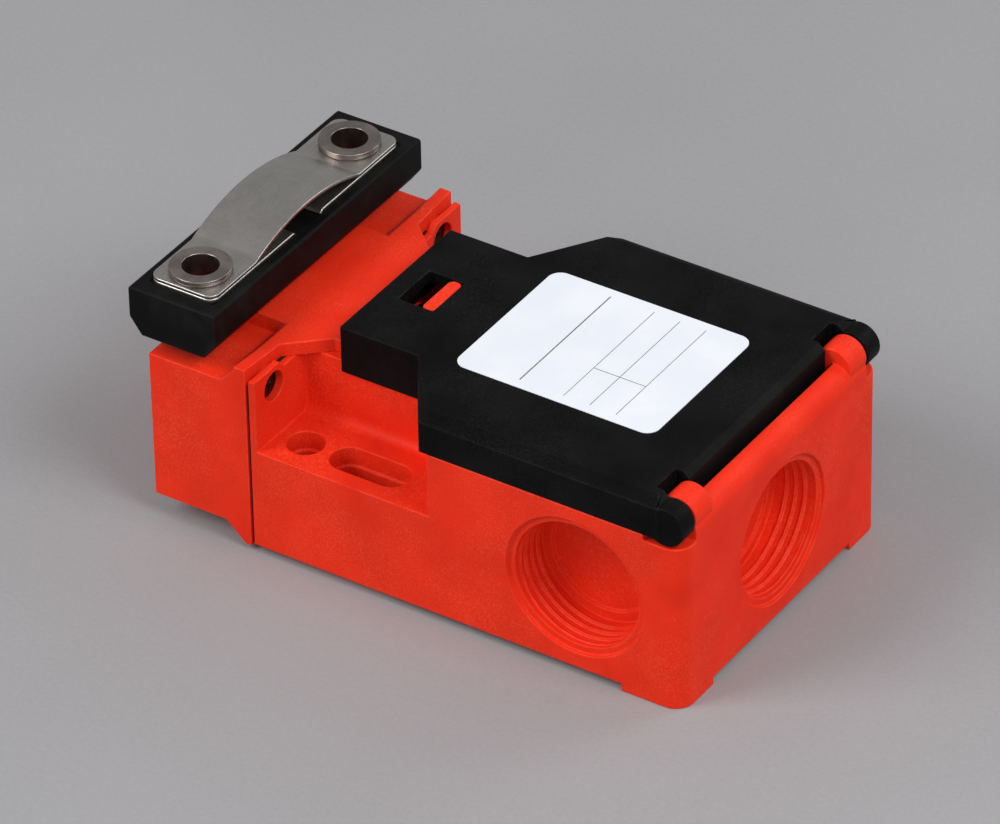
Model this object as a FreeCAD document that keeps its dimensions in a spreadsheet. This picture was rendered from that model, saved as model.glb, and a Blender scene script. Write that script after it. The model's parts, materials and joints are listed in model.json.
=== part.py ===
import FreeCAD, Part
import math
import os
import re

import Sketcher

# Tongue interlock switch: a moulded body with a bolted-on head, a hinged cover, a cam mechanism that the
# steel tongue of a separate actuator works, and a contact block with one opening and one closing contact.
# Millimetres.  X runs from the head to the conduit end, Z is up from the mounting plane, and the origin
# lies midway between the two round fixing holes.

SIZES = {
    # body housing
    "body_width": 52.0,
    "hole_to_seam": 5.6,
    "hole_to_conduit": 65.1,
    "foot_height": 1.2,
    "foot_length": 10.0,
    "foot_width": 8.0,
    "wall_top": 28.0,
    "side_wall": 2.5,
    "floor_wall": 2.0,
    "corner_radius": 3.0,
    "neck_width": 27.0,
    "neck_wall": 2.0,
    "neck_top": 26.4,
    "neck_roof": 1.4,
    "neck_end_wall": 2.0,
    "seam_wall": 1.1,
    "seam_ear": 1.2,
    "ledge_height": 17.5,
    "ledge_fillet": 1.5,
    "pocket_back": 15.6,
    "pocket_mouth": 24.1,
    "shoulder_wall": 2.2,
    "chamber_start": 13.6,
    "seal_lip": 1.4,
    "rim_height": 3.0,
    # fixing holes and slots
    "fixing_spacing": 41.0,
    "fixing_hole": 4.8,
    "fixing_mouth": 5.5,
    "mouth_depth": 3.0,
    "slot_offset": 10.8,
    "slot_travel": 7.2,
    "fixing_boss": 7.5,
    # conduit entries
    "entry_diameter": 20.0,
    "entry_depth": 7.5,
    "recess_diameter": 22.2,
    "recess_depth": 0.6,
    "knockout_diameter": 16.8,
    "knockout_step": 0.5,
    "knockout_wall": 1.1,
    "entry_boss": 24.5,
    "side_entry_x": 47.7,
    "entry_height": 14.75,
    # hinge
    "hinge_inset": 3.0,
    "hinge_rise": 2.3,
    "barrel_diameter": 5.8,
    "barrel_inset": 8.0,
    "barrel_length": 4.3,
    "lug_diameter": 6.0,
    "lug_width": 3.2,
    "hinge_gap": 0.3,
    "hinge_pin": 2.4,
    "hinge_pin_length": 2.8,
    "running_play": 0.05,
    # cover, its latch, gasket and label
    "cover_start": 1.8,
    "cover_gap": 0.2,
    "cover_neck_width": 28.0,
    "cover_shoulder_start": 14.7,
    "cover_shoulder_end": 22.7,
    "cover_height": 6.0,
    "cover_end_gap": 1.0,
    "cover_roof": 2.0,
    "cover_skirt": 1.4,
    "bevel_width": 2.0,
    "bevel_height": 1.0,
    "end_bevel": 1.1,
    "gasket_width": 2.0,
    "gasket_height": 2.0,
    "gasket_start": 11.8,
    "window_start": 4.9,
    "window_end": 10.7,
    "window_width": 8.0,
    "latch_play": 0.1,
    "latch_thickness": 2.1,
    "latch_leaf": 1.2,
    "latch_below_top": 0.2,
    "label_length": 32.5,
    "label_width": 26.5,
    "label_thickness": 0.15,
    "label_corner": 2.0,
    "label_start": 19.85,
    # head housing
    "head_length": 16.3,
    "seam_gap": 0.5,
    "head_underside": 3.7,
    "head_toe": 0.7,
    "toe_thickness": 1.0,
    "toe_ramp": 3.25,
    "shoulder_top": 27.8,
    "flange_top": 1.9,
    "flange_ramp": 2.3,
    "flange_ear": 0.6,
    "deck_thickness": 2.2,
    "plateau_width": 25.4,
    "plateau_corner": 3.0,
    "deck_wide": 36.8,
    "deck_narrow": 24.4,
    "deck_taper_start": 1.0,
    "deck_taper_end": 5.8,
    "cavity_width": 15.2,
    "cavity_floor": 6.0,
    "head_roof": 2.7,
    "head_end_wall": 1.3,
    "tongue_slot_width": 9.2,
    "tongue_slot_play": 0.4,
    # head screws
    "head_screw_y": 21.3,
    "head_screw_z": 26.0,
    "screw_well": 4.5,
    "spigot_diameter": 5.8,
    "spigot_length": 2.6,
    "screw_seat": 1.2,
    "head_screw_head": 4.2,
    "head_screw_head_height": 1.4,
    "head_screw_shank": 2.0,
    "head_screw_length": 8.0,
    # cam mechanism
    "actuator_inset": 4.2,
    "cam_offset": 4.8,
    "cam_height": 17.0,
    "cam_diameter": 12.0,
    "cam_turn": 153.0,
    "plunger_travel": 2.4,
    "cam_fall_start": 300.0,
    "cam_fall_end": 340.0,
    "cam_bore": 3.0,
    "centre_disc": 2.4,
    "side_disc": 1.4,
    "disc_gap": 0.1,
    "notch_width": 3.1,
    "notch_lean": 5.5,
    "notch_play": 0.2,
    "code_notch": 1.2,
    "code_step": 24.0,
    "code_angle_left": 60.0,
    "code_angle_right": 100.0,
    "carrier_cheek": 3.0,
    "carrier_plate": 1.0,
    "carrier_length": 12.3,
    "plunger_diameter": 4.0,
    "plunger_gap": 0.15,
    "plunger_blade": 2.1,
    "blade_gap": 0.2,
    "seal_diameter": 8.0,
    "seal_depth": 1.2,
    # actuator
    "actuator_width": 14.5,
    "actuator_height": 7.7,
    "actuator_play": 0.1,
    "block_bevel_width": 2.0,
    "block_bevel_height": 2.7,
    "strip_recess": 0.5,
    "strip_width": 11.0,
    "strip_inset": 2.6,
    "strip_corner": 1.8,
    "tongue_thickness": 0.9,
    "bow_thickness": 0.55,
    "bow_chord": 26.0,
    "bow_rise": 2.7,
    "leg_width": 5.0,
    "leg_thickness": 1.0,
    "leg_spread": 8.0,
    "leg_end": 1.4,
    "crossbar_diameter": 1.8,
    "crossbar_drop": 2.5,
    "bush_inset": 7.5,
    "bush_bore": 5.3,
    "bush_diameter": 6.6,
    "bush_flange": 9.0,
    "bush_flange_thickness": 0.95,
    # contact block
    "block_clearance": 0.4,
    "block_width": 20.8,
    "block_wall": 1.0,
    "block_floor": 2.0,
    "base_height": 6.8,
    "lid_height": 13.0,
    "room_end": 9.8,
    "upper_terrace": 7.0,
    "upper_terrace_end": 20.0,
    "block_end": 25.0,
    "boss_height": 3.3,
    "boss_diameter": 5.0,
    "boss_play": 0.1,
    "block_screw_shank": 2.4,
    "block_screw_head": 4.4,
    "block_screw_head_height": 1.6,
    "upper_screw_x": 16.4,
    "lower_screw_x": 22.6,
    # contacts
    "carrier_start": -1.6,
    "carrier_body": 7.2,
    "carrier_width": 5.2,
    "carrier_bottom": 6.0,
    "carrier_top": 21.0,
    "slot_wall": 1.0,
    "slot_start": 1.6,
    "bridge_height": 3.0,
    "bridge_thickness": 0.6,
    "bridge_length": 13.4,
    "nc_level": 10.0,
    "no_level": 16.0,
    "window_play": 0.5,
    "nc_bridge_x": 1.6,
    "contact_gap": 0.05,
    "strip_metal": 0.8,
    "finger_tip": 4.6,
    "rail_overlap": 0.3,
    "nc_strip_y": 9.2,
    "no_strip_y": 8.0,
    "terminal_plate": 4.8,
    "plate_metal": 1.0,
    "washer_side": 4.4,
    "washer_thickness": 0.8,
    "terminal_screw_head": 4.4,
    "terminal_screw_head_height": 2.0,
    "terminal_screw_shank": 2.6,
    "terminal_screw_length": 6.0,
    # springs
    "contact_spring_diameter": 2.6,
    "contact_spring_wire": 0.3,
    "contact_spring_turns": 4.0,
    "return_spring_diameter": 3.4,
    "return_spring_wire": 0.4,
    "return_spring_turns": 4.0,
    "return_spring_level": 19.0,
}

doc = FreeCAD.newDocument("TongueInterlockSwitch")
sheet = doc.addObject("Spreadsheet::Sheet", "Sizes")
for row, (size_name, size) in enumerate(SIZES.items(), start=1):
    sheet.set(f"A{row}", size_name.replace("_", " "))
    sheet.set(f"B{row}", str(size))
    sheet.setAlias(f"B{row}", size_name)
doc.recompute()

pieces = []

# A cut runs this far past the face that it opens.
PAST = 1.0


def bound(text):
    """The expression with each size name pointed at its cell of the sheet."""
    def cell(word):
        name = word.group()
        return "Sizes." + name if name in SIZES else name
    return re.sub(r"[a-z][a-z_]*", cell, str(text))


def value(text):
    """What an expression comes to with the sizes now in the sheet."""
    result = sheet.evalExpression(bound(text))
    return float(getattr(result, "Value", result))


# ---------------------------------------------------------------- places that several pieces share

half_width = "body_width / 2"
seam_x = "-hole_to_seam"
conduit_x = "hole_to_conduit"
floor_z = "foot_height + floor_wall"
chamber_end = "hole_to_conduit - entry_depth - knockout_step - knockout_wall"
entry_inner_y = "body_width / 2 - entry_depth - knockout_step - knockout_wall"
hinge_x = "hole_to_conduit - hinge_inset"
hinge_z = "wall_top + hinge_rise"
barrel_start = "(body_width / 2 - barrel_inset)"
barrel_end = barrel_start + " + barrel_length"
cover_top = "wall_top + cover_height"
cover_inside = "wall_top + cover_height - cover_roof"
cover_end = "hole_to_conduit - hinge_inset - cover_end_gap"
latch_end = "window_end - latch_play"
head_face = "-hole_to_seam - seam_gap"
head_end = "-hole_to_seam - seam_gap - head_length"
deck_top = "wall_top + deck_thickness"
deck_end = "cover_start - cover_gap"
cavity_top = "wall_top + deck_thickness - head_roof"
actuator_x = "-hole_to_seam - seam_gap - head_length + actuator_inset"
cam_x = "-hole_to_seam - seam_gap - head_length + actuator_inset + cam_offset"
cam_radius = "cam_diameter / 2"
cam_low = "(cam_diameter / 2 - plunger_travel)"
crossbar_z = "cam_height - crossbar_drop"
bush_y = "(body_width / 2 - bush_inset)"
strip_end = "(body_width / 2 - strip_inset)"
actuator_bottom = "wall_top + deck_thickness + actuator_play"
actuator_top = "wall_top + deck_thickness + actuator_play + actuator_height"
strip_bottom = "wall_top + deck_thickness + actuator_play + actuator_height - strip_recess"
bow_bottom = strip_bottom + " + tongue_thickness"
bow_top = bow_bottom + " + bow_thickness"
block_start = "-hole_to_seam + neck_end_wall + block_clearance"
base_top = "foot_height + floor_wall + base_height"
upper_top = base_top + " + upper_terrace"
room_start = block_start + " + block_wall"
room_half = "(block_width / 2 - block_wall)"
plunger_tip = cam_x + " + cam_diameter / 2 - plunger_travel + plunger_gap"
window_start_x = "carrier_start + slot_start"
window_end_x = "carrier_start + carrier_body - slot_wall"
nc_contact_x = "nc_bridge_x - contact_gap"
no_contact_x = window_end_x + " + plunger_travel + contact_gap"


# ---------------------------------------------------------------- ways of making pieces

def box_outline(x_low, x_high, y_low, y_high):
    """The four corners of a rectangle."""
    return [(x_low, y_low), (x_high, y_low), (x_high, y_high), (x_low, y_high)]


def across(width, x_low, x_high):
    """A rectangle that lies evenly about the X axis."""
    return box_outline(x_low, x_high, f"-({width}) / 2", f"({width}) / 2")


def both_halves(points):
    """A closed outline from its half at positive Y."""
    mirrored = [(x, f"-({y})") for x, y in reversed(points)]
    return list(points) + mirrored


def flipped(points):
    """The same outline on the other side of the sketch's first axis."""
    return [(x, f"-({y})") for x, y in points]


def swung(points):
    """The same outline on the other side of the sketch's second axis."""
    return [(f"-({x})", y) for x, y in points]


def span(side, near, far):
    """Where a stretch from near to far starts and ends along Y, on the side with that sign."""
    return (near, far) if side > 0 else (f"-({far})", f"-({near})")


class Round:
    """A circle in a sketch."""

    def __init__(self, x, y, diameter):
        self.x = x
        self.y = y
        self.diameter = diameter

    def draw(self, sketch):
        centre = FreeCAD.Vector(value(self.x), value(self.y), 0)
        circle = sketch.addGeometry(Part.Circle(centre, FreeCAD.Vector(0, 0, 1), value(self.diameter) / 2))
        pin_point(sketch, circle, 3, self.x, self.y)
        size = sketch.addConstraint(Sketcher.Constraint("Diameter", circle, value(self.diameter)))
        sketch.setExpression(f"Constraints[{size}]", bound(self.diameter))


class Slot:
    """A slot along a sketch's first axis, with round ends."""

    def __init__(self, x_low, x_high, y, width):
        self.ends = (x_low, x_high)
        self.y = y
        self.width = width

    def draw(self, sketch):
        radius = value(self.width) / 2
        level = value(self.y)
        arcs = []
        for x, start in zip(self.ends, (math.pi / 2, -math.pi / 2)):
            centre = FreeCAD.Vector(value(x), level, 0)
            circle = Part.Circle(centre, FreeCAD.Vector(0, 0, 1), radius)
            arc = sketch.addGeometry(Part.ArcOfCircle(circle, start, start + math.pi))
            pin_point(sketch, arc, 3, x, self.y)
            size = sketch.addConstraint(Sketcher.Constraint("Diameter", arc, 2 * radius))
            sketch.setExpression(f"Constraints[{size}]", bound(self.width))
            sketch.addConstraint(Sketcher.Constraint("Vertical", arc, 1, arc, 3))
            sketch.addConstraint(Sketcher.Constraint("Vertical", arc, 2, arc, 3))
            arcs.append(arc)
        left, right = (value(x) for x in self.ends)
        sides = (
            ((arcs[0], 2), (arcs[1], 1), -radius, (left, right)),
            ((arcs[1], 2), (arcs[0], 1), radius, (right, left)),
        )
        for first, second, height, run in sides:
            points = [FreeCAD.Vector(x, level + height, 0) for x in run]
            line = sketch.addGeometry(Part.LineSegment(*points))
            sketch.addConstraint(Sketcher.Constraint("Coincident", line, 1, *first))
            sketch.addConstraint(Sketcher.Constraint("Coincident", line, 2, *second))


def pin_point(sketch, geometry, point, x, y):
    """Hold one point of a sketch at the place that two expressions give."""
    for kind, text in (("DistanceX", x), ("DistanceY", y)):
        held = sketch.addConstraint(Sketcher.Constraint(kind, -1, 1, geometry, point, value(text)))
        sketch.setExpression(f"Constraints[{held}]", bound(text))


def draw_polygon(sketch, points):
    """A closed outline of straight lines with every corner held by the sheet."""
    corners = [FreeCAD.Vector(value(x), value(y), 0) for x, y in points]
    lines = []
    for corner, following in zip(corners, corners[1:] + corners[:1]):
        lines.append(sketch.addGeometry(Part.LineSegment(corner, following)))
    for line, following in zip(lines, lines[1:] + lines[:1]):
        sketch.addConstraint(Sketcher.Constraint("Coincident", line, 2, following, 1))
    for line, (x, y) in zip(lines, points):
        pin_point(sketch, line, 1, x, y)


class Moulding:
    """A PartDesign body, with one short call for each feature that it is made of."""

    def __init__(self, name):
        self.name = name
        self.body = doc.addObject("PartDesign::Body", name)
        self.body.Label = name
        pieces.append(self.body)

    def origin(self, role):
        """One of the body's own origin planes or axes."""
        return next(item for item in self.body.Origin.OriginFeatures if item.Role == role)

    def sketch(self, plane, level, loops):
        """A sketch on an origin plane, moved along the plane's normal."""
        sketch = self.body.newObject("Sketcher::SketchObject", self.name + "_sketch")
        sketch.AttachmentSupport = [(self.origin(plane + "_Plane"), "")]
        sketch.MapMode = "FlatFace"
        sketch.setExpression("AttachmentOffset.Base.z", bound(level))
        for loop in loops:
            if isinstance(loop, list):
                draw_polygon(sketch, loop)
            else:
                loop.draw(sketch)
        return sketch

    def extrude(self, kind, plane, start, end, loops):
        """A pad or pocket from start to end along the axis that stands on the plane."""
        level = f"-({end})" if plane == "XZ" else start
        feature_sketch = self.sketch(plane, level, loops)
        feature = self.body.newObject("PartDesign::" + kind, self.name + "_" + kind.lower())
        feature.Profile = feature_sketch
        feature.Reversed = kind == "Pocket"
        feature.setExpression("Length", bound(f"({end}) - ({start})"))
        return feature

    def pad(self, plane, start, end, *loops):
        return self.extrude("Pad", plane, start, end, loops)

    def pocket(self, plane, start, end, *loops):
        return self.extrude("Pocket", plane, start, end, loops)

    def revolve(self, outline, axis="Z_Axis"):
        """A ring or shaft turned from an outline in the XZ plane."""
        feature = self.body.newObject("PartDesign::Revolution", self.name + "_turned")
        feature.Profile = self.sketch("XZ", "0", [outline])
        feature.ReferenceAxis = (self.origin(axis), [""])
        feature.Angle = 360
        return feature

    def fillet(self, radius, where):
        """A fillet on the edges that a test picks from the shape so far."""
        doc.recompute()
        base = self.body.Tip
        names = [f"Edge{number}" for number, edge in enumerate(base.Shape.Edges, start=1) if where(edge)]
        feature = self.body.newObject("PartDesign::Fillet", self.name + "_fillet")
        feature.Base = (base, names)
        feature.setExpression("Radius", bound(radius))
        return feature

    def place(self, x="0", y="0", z="0", axis=None, angle=0):
        """Stand the finished body at its place."""
        if axis:
            self.body.Placement.Rotation = FreeCAD.Rotation(axis, angle)
        for name, text in zip("xyz", (x, y, z)):
            self.body.setExpression(f"Placement.Base.{name}", bound(text))


def edge_at(along, x=None, y=None, z=None):
    """A test for straight edges along one axis whose middle has the given coordinates (y either side)."""
    wanted = [None if text is None else value(text) for text in (x, y, z)]
    direction = {"x": 0, "y": 1, "z": 2}[along]

    def test(edge):
        if not isinstance(edge.Curve, Part.Line):
            return False
        run = edge.Vertexes[1].Point - edge.Vertexes[0].Point
        if abs(abs(run[direction]) - edge.Length) > 1e-6:
            return False
        middle = (edge.Vertexes[1].Point + edge.Vertexes[0].Point) * 0.5
        found = (middle.x, abs(middle.y), middle.z)
        return all(want is None or abs(want - have) < 1e-4 for want, have in zip(wanted, found))
    return test


def any_of(*tests):
    """A test that passes where one of several does."""
    return lambda edge: any(test(edge) for test in tests)


def cylinder(name, diameter, length, x, y, z):
    """An upright Part cylinder with its size and place tied to the sheet."""
    solid = doc.addObject("Part::Cylinder", name)
    solid.setExpression("Radius", bound(f"({diameter}) / 2"))
    solid.setExpression("Height", bound(length))
    for axis_name, text in zip("xyz", (x, y, z)):
        solid.setExpression(f"Placement.Base.{axis_name}", bound(text))
    return solid


def block(name, x_span, y_span, z_span):
    """A Part box between pairs of planes."""
    solid = doc.addObject("Part::Box", name)
    for side, axis_name, (low, high) in zip(("Length", "Width", "Height"), "xyz", (x_span, y_span, z_span)):
        solid.setExpression(side, bound(f"({high}) - ({low})"))
        solid.setExpression(f"Placement.Base.{axis_name}", bound(low))
    return solid


def joined(name, solids):
    """Several Part solids fused into one."""
    fuse = doc.addObject("Part::MultiFuse", name)
    fuse.Shapes = solids
    return fuse


def group(name, solids):
    """Identical separate solids that share one node."""
    compound = doc.addObject("Part::Compound", name)
    compound.Links = solids
    compound.Label = name
    pieces.append(compound)
    return compound


# ---------------------------------------------------------------- body housing

def shoulder_x(y, inset="0"):
    """X of the slanted pocket wall at a given Y, moved into the wall by an inset."""
    run = "(pocket_mouth - pocket_back)"
    rise = "(body_width / 2 - neck_width / 2)"
    slant = f"sqrt({run} * {run} + {rise} * {rise})"
    return f"pocket_back + (({y}) - neck_width / 2) * {run} / {rise} + ({inset}) * {slant} / {rise}"


def body_housing():
    """The moulded body: walls, neck, screw pockets, blind conduit entries, hinge barrels and cover latch."""
    body = Moulding("body_housing")
    body.pad("XY", "foot_height", "wall_top", across("body_width", seam_x, conduit_x))
    foot = box_outline(f"{conduit_x} - foot_length", conduit_x, f"{half_width} - foot_width", half_width)
    body.pad("XY", "0", "foot_height", foot, flipped(foot))
    for side in ("", "-"):
        boss = Slot("0", "slot_offset + slot_travel / 2", f"{side}fixing_spacing / 2", "fixing_boss")
        body.pad("XY", "0", "foot_height", boss)
    body.fillet("corner_radius", edge_at("z", x=conduit_x, y=half_width))

    pocket = [
        (f"{seam_x} + seam_wall", "neck_width / 2"),
        ("pocket_back", "neck_width / 2"),
        (shoulder_x(f"{half_width} + {PAST}"), f"{half_width} + {PAST}"),
        (f"{seam_x} + seam_wall", f"{half_width} + {PAST}"),
    ]
    body.pocket("XY", "ledge_height", f"wall_top + {PAST}", pocket, flipped(pocket))
    body.fillet("ledge_fillet", edge_at("x", y="neck_width / 2", z="ledge_height"))

    neck_inner = "neck_width / 2 - neck_wall"
    side_inner = f"{half_width} - side_wall"
    chamber = [
        ("chamber_start", neck_inner),
        (shoulder_x(neck_inner, "shoulder_wall"), neck_inner),
        (shoulder_x(side_inner, "shoulder_wall"), side_inner),
        (chamber_end, side_inner),
    ]
    body.pocket("XY", floor_z, "wall_top", both_halves(chamber))
    tunnel = box_outline(f"-({neck_inner})", neck_inner, floor_z, "neck_top - neck_roof")
    body.pocket("YZ", f"{seam_x} + neck_end_wall", "chamber_start", tunnel)

    lip_start = "chamber_start - seal_lip"
    skirt_inner = "cover_neck_width / 2 - cover_skirt - latch_play"
    body.pocket("XY", "neck_top", f"wall_top + {PAST}", across(f"neck_width + {PAST}", deck_end, lip_start))
    strip = box_outline(lip_start, "cover_shoulder_start + hinge_gap", skirt_inner, f"neck_width / 2 + {PAST}")
    body.pocket("XY", "neck_top", f"wall_top + {PAST}", strip, flipped(strip))

    body_ears(body)
    body_entries(body)
    body_hinge(body)
    body_latch(body)
    body_holes(body)


def body_ears(body):
    """The wall at the seam rises at its outer ends and carries a spigot round each head screw."""
    ear = [
        ("deck_wide / 2 + cover_gap", "wall_top"),
        (half_width, "wall_top"),
        (half_width, "wall_top + seam_ear"),
        ("deck_wide / 2 + cover_gap + seam_ear", "wall_top + seam_ear"),
    ]
    body.pad("YZ", seam_x, f"{seam_x} + seam_wall", ear, swung(ear))
    well_floor = f"{seam_x} - spigot_length + screw_seat"
    for side in ("", "-"):
        y = f"{side}head_screw_y"
        spigot = Round(y, "head_screw_z", "spigot_diameter")
        body.pad("YZ", f"{seam_x} - spigot_length", seam_x, spigot)
        well = Round(y, "head_screw_z", "screw_well")
        body.pocket("YZ", well_floor, f"{seam_x} + seam_wall", well)
        bore = Round(y, "head_screw_z", "head_screw_shank")
        body.pocket("YZ", f"{seam_x} - spigot_length", well_floor, bore)
    collar = Round("0", "cam_height", "seal_diameter")
    body.pocket("YZ", seam_x, f"{seam_x} + seal_depth", collar)
    guide = Round("0", "cam_height", "plunger_diameter + 2 * running_play")
    body.pocket("YZ", f"{seam_x} + seal_depth", f"{seam_x} + neck_end_wall", guide)


def body_entries(body):
    """Three blind round conduit entries, each a recess, a bore and a thin membrane to knock out."""
    steps = (
        ("recess_diameter", "recess_depth"),
        ("entry_diameter", "entry_depth"),
        ("knockout_diameter", "entry_depth + knockout_step"),
    )
    for side in (1, -1):
        boss = Round("side_entry_x", "entry_height", "entry_boss")
        body.pad("XZ", *span(side, entry_inner_y, f"{half_width} - side_wall"), boss)
        for diameter, depth in steps:
            mouth = Round("side_entry_x", "entry_height", diameter)
            body.pocket("XZ", *span(side, f"{half_width} - ({depth})", half_width), mouth)
    for diameter, depth in steps:
        mouth = Round("0", "entry_height", diameter)
        body.pocket("YZ", f"{conduit_x} - ({depth})", conduit_x, mouth)


def body_hinge(body):
    """The rim along the conduit end, with a hinge barrel near each end and room for the cover's lugs."""
    rim = across(f"2 * ({barrel_end})", hinge_x, conduit_x)
    body.pad("XY", "wall_top", "wall_top + rim_height", rim)
    body.fillet("rim_height - cover_gap", edge_at("y", x=conduit_x, z="wall_top + rim_height"))
    corner = box_outline(
        f"{hinge_x} - lug_diameter / 2 - hinge_gap",
        f"{conduit_x} + {PAST}",
        barrel_end,
        f"{half_width} + {PAST}",
    )
    lug_bottom = f"{hinge_z} - lug_diameter / 2 - hinge_gap"
    body.pocket("XY", lug_bottom, f"wall_top + {PAST}", corner, flipped(corner))
    for side in (1, -1):
        barrel = Round(hinge_x, hinge_z, "barrel_diameter")
        body.pad("XZ", *span(side, barrel_start, barrel_end), barrel)
        bore = Round(hinge_x, hinge_z, "hinge_pin + 2 * running_play")
        pin_reach = f"{barrel_end} - hinge_pin_length - hinge_gap"
        body.pocket("XZ", *span(side, pin_reach, barrel_end), bore)


def body_latch(body):
    """A springy leaf over the neck's roof, turned up into a nose that fills the cover's window."""
    root = f"{deck_end} - {PAST}"
    latch_top = f"{cover_top} - latch_below_top"
    nose_start = f"{latch_end} - latch_thickness"
    leaf = [
        (root, "wall_top - latch_leaf"),
        (latch_end, "wall_top - latch_leaf"),
        (latch_end, latch_top),
        (nose_start, latch_top),
        (nose_start, "wall_top"),
        (root, "wall_top"),
    ]
    half_latch = "(window_width / 2 - latch_play)"
    body.pad("XZ", f"-{half_latch}", half_latch, leaf)
    corners = any_of(edge_at("z", x=latch_end, y=half_latch), edge_at("z", x=nose_start, y=half_latch))
    body.fillet("latch_thickness / 2 - latch_play", corners)


def body_holes(body):
    """Stepped fixing holes and slots in both ledges, and the bosses that take the contact block's screws."""
    mouth_floor = "ledge_height - mouth_depth"
    slot_low = "slot_offset - slot_travel / 2"
    slot_high = "slot_offset + slot_travel / 2"
    for side in ("", "-"):
        y = f"{side}fixing_spacing / 2"
        steps = (("fixing_hole", "0", mouth_floor), ("fixing_mouth", mouth_floor, "ledge_height"))
        for diameter, bottom, top in steps:
            body.pocket("XY", bottom, top, Round("0", y, diameter))
            body.pocket("XY", bottom, top, Slot(slot_low, slot_high, y, diameter))
    boss_top = f"{floor_z} + boss_height"
    for x in ("upper_screw_x", "lower_screw_x"):
        body.pad("XY", "foot_height", boss_top, Round(x, "0", "boss_diameter"))
        body.pocket("XY", "foot_height + seam_wall", boss_top, Round(x, "0", "block_screw_shank"))


# ---------------------------------------------------------------- cover

def cover_outline(inset, start, end):
    """The cover's plan, drawn in by an inset, between two X positions."""
    run = "(cover_shoulder_end - cover_shoulder_start)"
    rise = "(body_width / 2 - cover_neck_width / 2)"
    shift = f"({inset}) * (sqrt({run} * {run} + {rise} * {rise}) - {run}) / {rise}"
    neck = f"cover_neck_width / 2 - ({inset})"
    side = f"{half_width} - ({inset})"
    half = [
        (start, neck),
        (f"cover_shoulder_start + {shift}", neck),
        (f"cover_shoulder_end + {shift}", side),
        (end, side),
    ]
    return both_halves(half)


notch_x = f"{hinge_x} - barrel_diameter / 2 - hinge_gap"
seal_end = f"{notch_x} - cover_skirt - hinge_gap"


def cover():
    """The hinged cover: a hollow lid with a narrow neck, a latch window and a lug with a stub pin each side."""
    lid = Moulding("cover")
    lid.pad("XY", "wall_top", cover_top, cover_outline("0", "cover_start", cover_end))
    neck = across("cover_neck_width", "cover_start", "cover_shoulder_start")
    lid.pad("XY", "neck_top", "wall_top", neck)

    side_bevel = [
        (f"{half_width} - bevel_width", cover_top),
        (half_width, f"{cover_top} - bevel_height"),
        (f"{half_width} + {PAST}", f"{cover_top} - bevel_height"),
        (f"{half_width} + {PAST}", f"{cover_top} + {PAST}"),
        (f"{half_width} - bevel_width", f"{cover_top} + {PAST}"),
    ]
    lid.pocket("YZ", "cover_shoulder_start", f"{cover_end} + {PAST}", side_bevel, swung(side_bevel))
    end_bevel = [
        (f"{cover_end} - end_bevel", cover_top),
        (cover_end, f"{cover_top} - bevel_height"),
        (f"{cover_end} + {PAST}", f"{cover_top} - bevel_height"),
        (f"{cover_end} + {PAST}", f"{cover_top} + {PAST}"),
        (f"{cover_end} - end_bevel", f"{cover_top} + {PAST}"),
    ]
    lid.pocket("XZ", f"-({half_width})", half_width, end_bevel)

    seal_inner = "cover_skirt + gasket_width"
    seat = cover_outline("cover_skirt", "gasket_start", seal_end)
    lid.pocket("XY", "wall_top", "wall_top + gasket_height", seat)
    room = cover_outline(seal_inner, "gasket_start + gasket_width", f"{seal_end} - gasket_width")
    lid.pocket("XY", "wall_top + gasket_height", cover_inside, room)

    inner_width = "cover_neck_width - 2 * cover_skirt"
    wall_inner = "cover_start + cover_skirt"
    lid.pocket("XY", "wall_top", cover_inside, across(inner_width, wall_inner, "window_end + cover_gap"))
    lid.pocket("XY", "neck_top", "wall_top", across(inner_width, wall_inner, f"cover_shoulder_start + {PAST}"))
    arch = across(inner_width, f"cover_start - {PAST}", wall_inner)
    lid.pocket("XY", "neck_top", "wall_top + bevel_height / 2", arch)
    lid.pocket("XY", cover_inside, cover_top, across("window_width", "window_start", "window_end"))
    cover_hinge_end(lid)


def cover_hinge_end(lid):
    """Notches that clear the body's barrels, and the lugs and pins that turn in them."""
    lug_start = f"{barrel_end} + hinge_gap"
    notch = box_outline(notch_x, f"{cover_end} + {PAST}", f"{barrel_start} - hinge_gap", lug_start)
    lid.pocket("XY", "wall_top", cover_top, notch, flipped(notch))
    for side in (1, -1):
        lug = Round(hinge_x, hinge_z, "lug_diameter")
        lid.pad("XZ", *span(side, lug_start, f"{lug_start} + lug_width"), lug)
        pin = Round(hinge_x, hinge_z, "hinge_pin")
        lid.pad("XZ", *span(side, f"{lug_start} - hinge_pin_length", lug_start), pin)


def cover_gasket():
    """The rubber frame that the cover presses on the rim of the wiring chamber."""
    frame = Moulding("cover_gasket")
    outer = cover_outline("cover_skirt", "gasket_start", seal_end)
    inner_end = f"{seal_end} - gasket_width"
    inner = cover_outline("cover_skirt + gasket_width", "gasket_start + gasket_width", inner_end)
    frame.pad("XY", "wall_top", "wall_top + gasket_height", outer, inner)


def type_label():
    """The plain rating label on the cover."""
    label = Moulding("type_label")
    sheet_outline = across("label_width", "label_start", "label_start + label_length")
    label.pad("XY", cover_top, f"{cover_top} + label_thickness", sheet_outline)
    label.fillet("label_corner", edge_at("z", y="label_width / 2"))


# ---------------------------------------------------------------- head

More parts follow.
